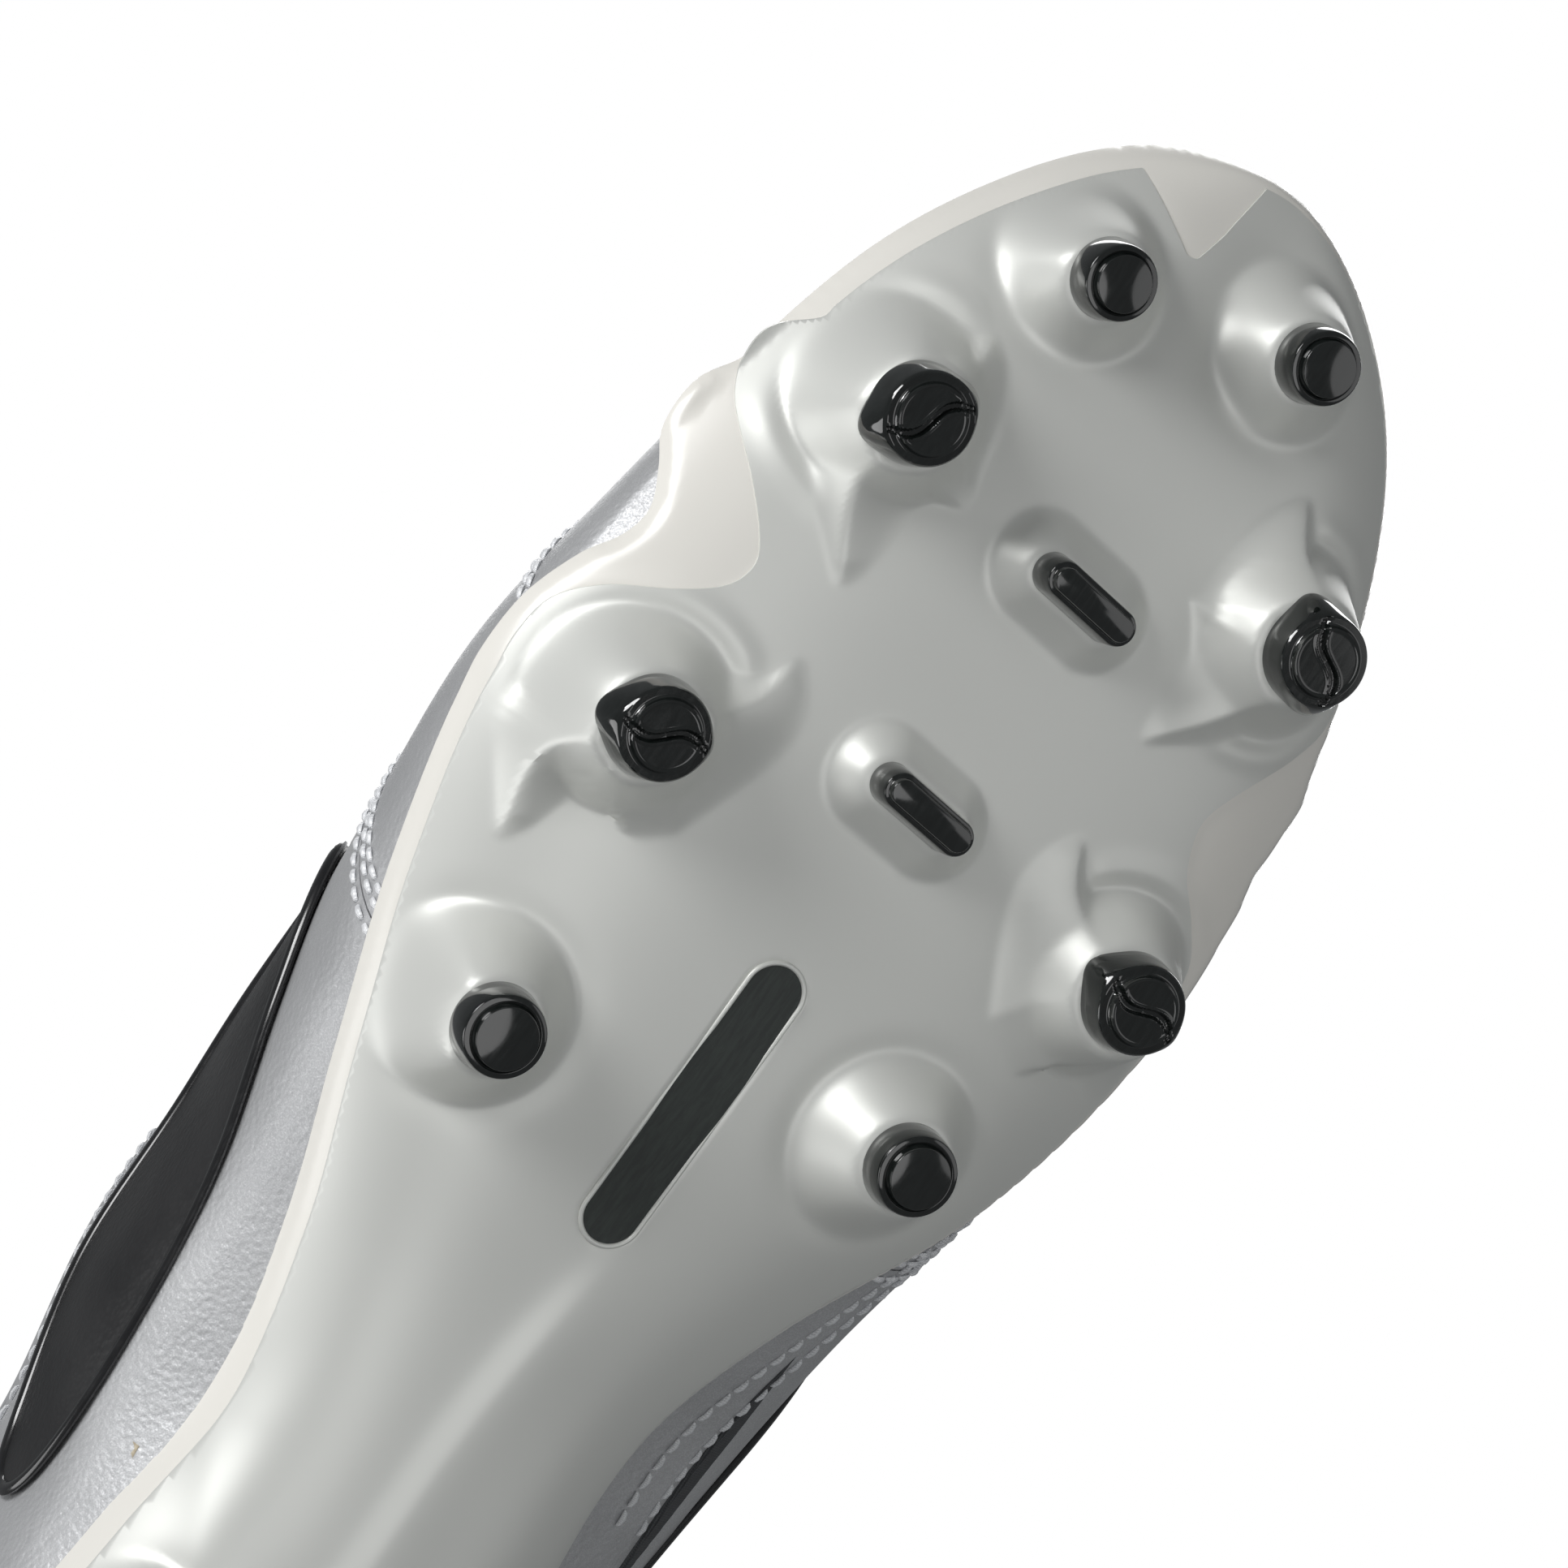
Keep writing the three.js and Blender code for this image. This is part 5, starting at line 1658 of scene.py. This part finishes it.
    def _panel(self, side: int, name: str) -> None:
        """The rounded black panel and its raised glossy border."""
        sheet = self.skin(-0.9, 340, 160).clip(lambda p: side * (p[:, 0] - spine(p[:, 1])))
        sheet = sheet.clip(self.panel_gap).facing(CORE)
        place(
            sheet_object(name + "_side_panel_face", sheet, self.panel_wall),
            BLACK_LEATHER,
            "panel",
            name + "_side_panel",
        )
        t, z, long, high, tilt = self.panel
        turn = np.linspace(0, 2 * math.pi, 160, endpoint=False)
        u = np.sign(np.cos(turn)) * np.abs(np.cos(turn)) ** (2 / self.panel_power) * long
        v = np.sign(np.sin(turn)) * np.abs(np.sin(turn)) ** (2 / self.panel_power) * high
        path, out = [], []
        for a, b in zip(u, v):
            tt, zz = t + a * math.cos(
                tilt
            ) - b * math.sin(tilt), z + a * math.sin(tilt) + b * math.cos(tilt)
            point = Section(tt, -0.95).at_height(zz, side)
            path.append(point)
            out.append(point - Section(tt, 0.5).at_height(zz, side))
        normal = np.array(out)
        normal /= np.linalg.norm(normal, axis=1)[:, None]
        border = tube(name + "_side_panel_border", np.array(path), 1.0, 10, True, 0.62, normal)
        place(border, BORDER_GLOSS, "panel")

    def stitches(self, name: str, lines: Sequence[tuple[Array, int]]) -> bpy.types.Object:
        """Rows of short thread loops along lines of (t, z) on a wall.

        Args:
            name: the piece's name.
            lines: each row of stitches, with its side.

        Returns:
            The new object.
        """
        pts: list[Array] = []
        faces: list[tuple[int, ...]] = []
        for line, side in lines:
            path = []
            for t, z in line:
                path.append(Section(float(t), 0.0).at_height(float(z), side))
            path = spline(np.array(path), 6)
            run = np.concatenate([[0], np.cumsum(np.linalg.norm(np.diff(path, axis=0), axis=1))])
            count = int(run[-1] / self.stitch_pitch)
            for k in range(count):
                first = k * self.stitch_pitch
                places = (first + self.stitch_start, first + self.stitch_end)
                ends = [np.array([np.interp(d, run, path[:, j]) for j in range(3)]) for d in places]
                middle, d = (ends[0] + ends[1]) / 2, ends[1] - ends[0]
                out = middle - np.array(
                    [spine(np.array(middle[1])), middle[1], 30 + 0.3 * (middle[2] - 30)]
                )
                out = out - d * (out @ d) / (d @ d)
                out /= np.linalg.norm(out)
                across = np.cross(d / np.linalg.norm(d), out)
                start = len(pts)
                for u, r in ((-1, 0.15), (-0.75, 0.4), (0, 0.5), (0.75, 0.4), (1, 0.15)):
                    centre = middle + d * u / 2 + out * (0.32 - 0.3 * abs(u) ** 3)
                    for a in range(6):
                        turn = a * math.pi / 3
                        pts.append(
                            centre + across * (r * math.cos(turn)) + out * (r * 0.8 * math.sin(turn))
                        )
                for q in range(4):
                    for a in range(6):
                        b = (a + 1) % 6
                        faces.append(
                            (start + q * 6 + a, start + q * 6 + b, start + q * 6 + 6 + b,
                             start + q * 6 + 6 + a)
                        )
                faces.append(tuple(start + a for a in range(6)))
                faces.append(tuple(start + 24 + a for a in range(6)))
        return finish_mesh(mesh_object(name, np.array(pts), faces), 60, True)

    def _stitching(self, side: int, name: str) -> None:
        """Double rows on the vamp and quarter seams and a single row behind."""
        seat = 27.5 if side < 0 else 24.0
        z = np.linspace(seat, 66, 14)
        rows = [np.column_stack([seam_t(VAMP_SEAM, z) + off, z]) for off in (1.6, 3.4, -1.6)]
        toe = np.linspace(seat, 48, 9)
        rows += [np.column_stack([184 + (toe - 26) * 0.92 + off, toe]) for off in (0.0, 1.9)]
        z = np.linspace(seat, 73, 12)
        rows += [np.column_stack([seam_t(HEEL_SEAM, z) + off, z]) for off in (1.6, 3.2)]
        t = np.linspace(60, 104, 12)
        rows.append(np.column_stack([t, top_z(t) - 4.5]))
        if side > 0:
            t = np.linspace(96, 158, 16)
            low = 29.5 - 0.06 * (t - 96)
            rows += [np.column_stack([t, low]), np.column_stack([t, low + 1.9])]
        place(self.stitches(name + "_seam_stitching", [(row, side) for row in rows]), THREAD, "lace")

    def _linings(self) -> None:
        """Textile linings inside the shell and the padded collar."""
        inner = self.skin(LINING_FACE, 160, 80).clip(
            lambda p: p[:, 2] - sole_height(p[:, 1], p[:, 0]) - SOCK_BASE
        )
        inner = inner.clip(lambda p: top_z(p[:, 1]) - 1.0 - p[:, 2]).clip(lambda p: throat_gap(p) + 0.3)
        vamp = inner.clip(lambda p: p[:, 1] - seam_t(VAMP_SEAM, p[:, 2]) - SEAM_GAP)
        rear = inner.clip(lambda p: seam_t(VAMP_SEAM, p[:, 2]) - SEAM_GAP - p[:, 1])
        place(
            sheet_object("vamp_lining_cloth", vamp.facing(CORE), self.overlay_wall),
            TEXTILE,
            "lining",
            "vamp_lining",
        )
        place(
            sheet_object("quarter_lining_cloth", rear.facing(CORE), self.overlay_wall),
            TEXTILE,
            "lining",
            "quarter_lining",
        )
        self._collar()

    def _collar(self) -> None:
        """The soft roll round the top edge, from one throat edge to the other."""
        sides: dict[int, list[Array]] = {-1: [], 1: []}
        for at in np.concatenate([np.linspace(0.385, 0.03, 46), np.geomspace(0.025, 0.004, 16)]):
            section = Section(2.4 + (LENGTH - 4.8) * float(at), 2.4)
            for side, line in sides.items():
                point = section.at_topline(side, 1.4)
                if point is not None:
                    line.append(point)
        line = spline(np.array(sides[-1] + sides[1][::-1]), 2)
        ends = np.minimum(np.arange(len(line)), np.arange(len(line))[::-1])
        roll = tube("collar_roll", line, 2.7 * (0.35 + 0.65 * smooth(ends, -1, 8)), 14)
        place(roll, TEXTILE, "lining", "collar_foam")


@dataclass
class Throat:
    """The tongue, the lace and its ends."""

    lap: float = 6.0
    tongue_top: float = 88.0
    width: float = 2.6
    thick: float = 0.62

    def build(self) -> None:
        """Makes the tongue and the lace."""
        self._tongue()
        self._lace()

    def _tongue(self) -> None:
        """A padded tongue with bevelled edges."""
        rows = []
        for t in np.linspace(THROAT_END + 4, self.tongue_top, 90):
            s = Section(float(t), TONGUE_FACE)
            centre = s.walk_at_x(float(spine(np.array(t))))
            half = float(throat_half(max(t, 115))) + self.lap
            end = smooth(np.array(t - self.tongue_top), 0, 9)
            half = half * float(0.72 + 0.28 * end)
            row = []
            for share in np.linspace(-1, 1, 41):
                point = s.at_walk(centre - share * half)
                row.append(point)
            rows.append(row)
        sheet = Sheet.grid(np.array(rows))
        obj = sheet_object("tongue_pad", sheet.facing(CORE), TONGUE)
        apply(obj, "BEVEL", width=0.0009, segments=2, limit_method="ANGLE", angle_limit=math.radians(50))
        finish_mesh(obj, 50)
        place(obj, TONGUE_LEATHER, "tongue", "tongue")

    def _run(self, start: int) -> tuple[list[Array], int]:
        """One side's run from the lowest bar to its last eyelet."""
        over, under = -GAP - OVERLAY - LACE / 2 - 0.9, CAVITY_FACE + GAP + LACE / 2 + 0.15
        points: list[Array] = []
        side = start
        for row in range(EYELET_ROWS):
            t = eyelet_t(row)
            points += [
                beside_throat(t, side, EYELET_INSET, under), beside_throat(t, side, EYELET_INSET, over)
            ]
            if row == EYELET_ROWS - 1:
                break
            ahead = eyelet_t(row + 1)
            points.append(across_throat(t - 2, side * 0.95, over + 0.4))
            points.append(across_throat((t + ahead) / 2, 0, -0.5 if start < 0 else 2.6))
            points.append(across_throat(ahead + 2, -side * 0.8, under - 0.4))
            side = -side
        return points, side

    def _tail(self, side: int) -> list[Array]:
        """From the last eyelet back under the crossings."""
        t = eyelet_t(EYELET_ROWS - 1)
        over, tucked = -GAP - OVERLAY - LACE / 2 - 0.9, TONGUE_FACE - GAP - LACE / 2
        return [across_throat(t - 1, side * 0.9, over + 1.2), across_throat(t + 1, side * 0.45,
        tucked - 2.5),
                across_throat(t + 10, side * 0.3, tucked), across_throat(t + 22, side * 0.3, tucked)]

    def _lace(self) -> None:
        """The flat lace with its two aglets."""
        left, left_side = self._run(-1)
        right, right_side = self._run(1)
        bar = [across_throat(eyelet_t(0), 0, CAVITY_FACE + GAP + LACE / 2 - 0.35)]
        points = (left + self._tail(left_side))[::-1] + bar + right + self._tail(right_side)
        line = spline(np.array(points), 10)
        centre = np.column_stack([spine(line[:, 1]), line[:, 1], np.full(len(line), 40.0)])
        normal = line - centre
        ahead = np.gradient(line, axis=0)
        ahead /= np.linalg.norm(ahead, axis=1)[:, None]
        kernel = np.hanning(23) / np.hanning(23).sum()
        padded = np.pad(normal, ((11, 11), (0, 0)), mode="edge")
        normal = np.stack([np.convolve(padded[:, k], kernel, "valid") for k in range(3)], axis=-1)
        steep = np.abs(np.sum(ahead * normal / np.linalg.norm(normal, axis=1)[:, None], axis=1))
        normal -= ahead * np.sum(ahead * normal, axis=1)[:, None]
        normal /= np.linalg.norm(normal, axis=1)[:, None]
        wide = self.width - 1.0 * smooth(steep, 0.3, 0.8)
        lace = tube("flat_lace", line, wide, 14, False, self.thick / self.width, normal)
        place(lace, LACE_BRAID, "lace", "lace")
        for node in ("lateral_aglet", "medial_aglet"):
            solid = frame["nodes"][node]
            solid.data.materials.clear()
            solid.data.materials.append(AGLET_PLASTIC.material())


@dataclass
class Inside:
    """Pieces inside the boot that keep their solids' shapes, or are refined from the last."""

    counter_reach: float = 74.0
    collar_depth: float = 14.3
    puff_from: float = 236.0

    def build(self) -> None:
        """Dresses the inner solids and makes the insole."""
        solid = frame["nodes"]["lasting_board"]
        solid.data.materials.clear()
        solid.data.materials.append(FIBRE_BOARD.material())
        LOG.info("lasting_board: dressed")
        between = Upper().skin(LEATHER + GAP, 160, 80)
        between = between.clip(lambda p: p[:, 2] - sole_height(p[:, 1], p[:, 0]) - SOCK_BASE)
        counter = between.clip(lambda p: self.counter_reach - p[:, 1])
        counter = counter.clip(lambda p: top_z(p[:, 1]) - self.collar_depth - p[:, 2])
        puff = between.clip(lambda p: p[:, 1] - self.puff_from)
        for name, slot, sheet in (("heel_stiffener", "stiffener", counter), ("toe_puff", "puff", puff)):
            place(sheet_object(name + "_shell", sheet.facing(CORE), MIDDLE), FIBRE_BOARD, slot, name)
        self._insole()

    def _insole(self) -> None:
        """The cupped foam insole with a textile top."""
        margin = (CAVITY_FACE + 2 * GAP) / SEAT + (1 - SEAT) * HALF_BALL + 1.8
        end = CAVITY_FACE + GAP + 1.8
        at = (1 - np.cos(np.linspace(0.03, math.pi - 0.03, 150))) / 2
        share = np.linspace(-1, 1, 50)
        a, s = np.meshgrid(at, share, indexing="ij")
        out, inn = HALF_BALL * station("out", a), HALF_BALL * station("inn", a)
        half, middle = np.maximum((inn + out) / 2, 0.5), (inn - out) / 2
        kept = half * half / (half + margin)
        x, t = middle + s * kept, end + (LENGTH - 2 * end) * a
        z = sole_height(t, x) + SOCK_BASE + SOCKLINER - 0.1
        sheet = Sheet.grid(np.stack([x, t, z], axis=-1)).facing(FAR_BELOW)
        obj = sheet_object("insole_pad", sheet, 3.0, 60)
        place(obj, FOAM_COVER, "foam", "sockliner")


# ---- Studio ----


@dataclass
class Studio:
    """Camera, floor, background and soft lights."""

    tilt: float = math.radians(22.5)
    roll: float = math.radians(34.4)
    distance: float = 0.62524
    aim: tuple[float, float] = (-21.3, 187.1)
    lens: float = 120.0
    sensor: float = 36.0
    lamp_reach: float = 0.85
    sky_strength: float = 0.17
    floor_glow: float = 0.65
    lights: list[tuple[str, tuple[float, float, float], float, float]] = field(default_factory=lambda: [
        ("key", (0.60, -0.52, 0.58), 0.40, 4.6),
        ("front", (1.0, 0.25, -0.35), 0.6, 1.25),
        ("edge", (0.45, -0.80, 0.75), 0.11, 0.8),
        ("fill", (0.35, 0.8, -0.2), 0.5, 0.5),
        ("side", (0.1, -0.95, -0.2), 0.5, 1.6),
        ("top", (-0.85, 0.1, 0.3), 0.8, 6.5),
    ])

    def axes(self) -> tuple[Vector, Vector, Vector]:
        """The camera's back, right and up directions."""
        back = Vector((-math.sin(self.tilt), 0, -math.cos(self.tilt)))
        toe = Vector((0, -1, 0))
        toe = (toe - back * toe.dot(back)).normalized()
        side = toe.cross(back)
        up = toe * math.cos(self.roll) - side * math.sin(self.roll)
        right = toe * math.sin(self.roll) + side * math.cos(self.roll)
        return back, right, up

    def build(self) -> None:
        """Sets the camera, the floor, the background and the lights."""
        back, right, up = self.axes()
        target = Vector(world(np.array([[*self.aim, 0.0]]))[0])
        data = bpy.data.cameras.new("camera")
        data.lens, data.sensor_width = self.lens, self.sensor
        data.clip_start, data.clip_end = 0.01, 20.0
        camera = bpy.data.objects.new("camera", data)
        turn = Matrix((right, up, back)).transposed().to_4x4()
        camera.matrix_world = Matrix.Translation(target + back * self.distance) @ turn
        bpy.context.scene.collection.objects.link(camera)
        bpy.context.scene.camera = camera
        self._world()
        self._floor()
        for name, (b, r, u), size, power in self.lights:
            light = bpy.data.lights.new(name, "AREA")
            light.shape, light.size, light.energy = "DISK", size, power
            lamp = bpy.data.objects.new(name, light)
            spot = target + (back * b + right * r + up * u).normalized() * self.lamp_reach
            lamp.matrix_world = Matrix.Translation(spot) @ (
                spot - target
            ).to_track_quat("Z", "Y").to_matrix().to_4x4()
            bpy.context.scene.collection.objects.link(lamp)
        bpy.context.scene.view_settings.view_transform = "Standard"

    def _world(self) -> None:
        """White behind the boot and softer grey light round it."""
        sky = bpy.data.worlds.new("studio")
        sky.use_nodes = True
        bpy.context.scene.world = sky
        tree = sky.node_tree
        tree.nodes.clear()
        out = tree.nodes.new("ShaderNodeOutputWorld")
        seen, light = tree.nodes.new("ShaderNodeBackground"), tree.nodes.new("ShaderNodeBackground")
        seen.inputs[0].default_value, seen.inputs[1].default_value = (1, 1, 1, 1), 1.0
        light.inputs[0].default_value, light.inputs[1].default_value = (0.95, 0.98, 1, 1), self.sky_strength
        ray, mix = tree.nodes.new("ShaderNodeLightPath"), tree.nodes.new("ShaderNodeMixShader")
        tree.links.new(ray.outputs["Is Camera Ray"], mix.inputs[0])
        tree.links.new(light.outputs[0], mix.inputs[1])
        tree.links.new(seen.outputs[0], mix.inputs[2])
        tree.links.new(mix.outputs[0], out.inputs[0])

    def _floor(self) -> None:
        """A plain pale floor that is clear from below."""
        bpy.ops.object.select_all(action="DESELECT")
        bpy.ops.mesh.primitive_plane_add(size=6, location=(0, 0, -0.0002))
        floor = bpy.context.active_object
        floor.name = "floor"
        bpy.ops.object.transform_apply(location=True, rotation=True, scale=True)
        mat = bpy.data.materials.new("floor_paper")
        mat.use_nodes = True
        n = Node(mat.node_tree)
        shader = mat.node_tree.nodes["Principled BSDF"]
        shader.inputs["Base Color"].default_value = (0.86, 0.86, 0.86, 1)
        shader.inputs["Emission Color"].default_value = (1, 1, 1, 1)
        shader.inputs["Emission Strength"].default_value = self.floor_glow
        shader.inputs["Roughness"].default_value = 0.9
        out = mat.node_tree.nodes["Material Output"]
        clear, mix, face = n.add(
            "ShaderNodeBsdfTransparent"
        ), n.add("ShaderNodeMixShader"), n.add("ShaderNodeNewGeometry")
        n.link(face.outputs["Backfacing"], mix.inputs[0])
        n.link(shader.outputs[0], mix.inputs[1])
        n.link(clear.outputs[0], mix.inputs[2])
        n.link(mix.outputs[0], out.inputs["Surface"])
        floor.data.materials.append(mat)
        floor.visible_diffuse = False
        floor.visible_glossy = False
        floor.visible_transmission = False
        floor.visible_shadow = False


def main() -> None:
    """Builds the boot's sub-assemblies in order."""
    logging.basicConfig(level=logging.INFO, format="%(name)s: %(message)s")
    Studio().build()
    SolePlate().build()
    StudSet().build()
    Upper().build()
    Throat().build()
    Inside().build()


if __name__ == "__main__":
    main()
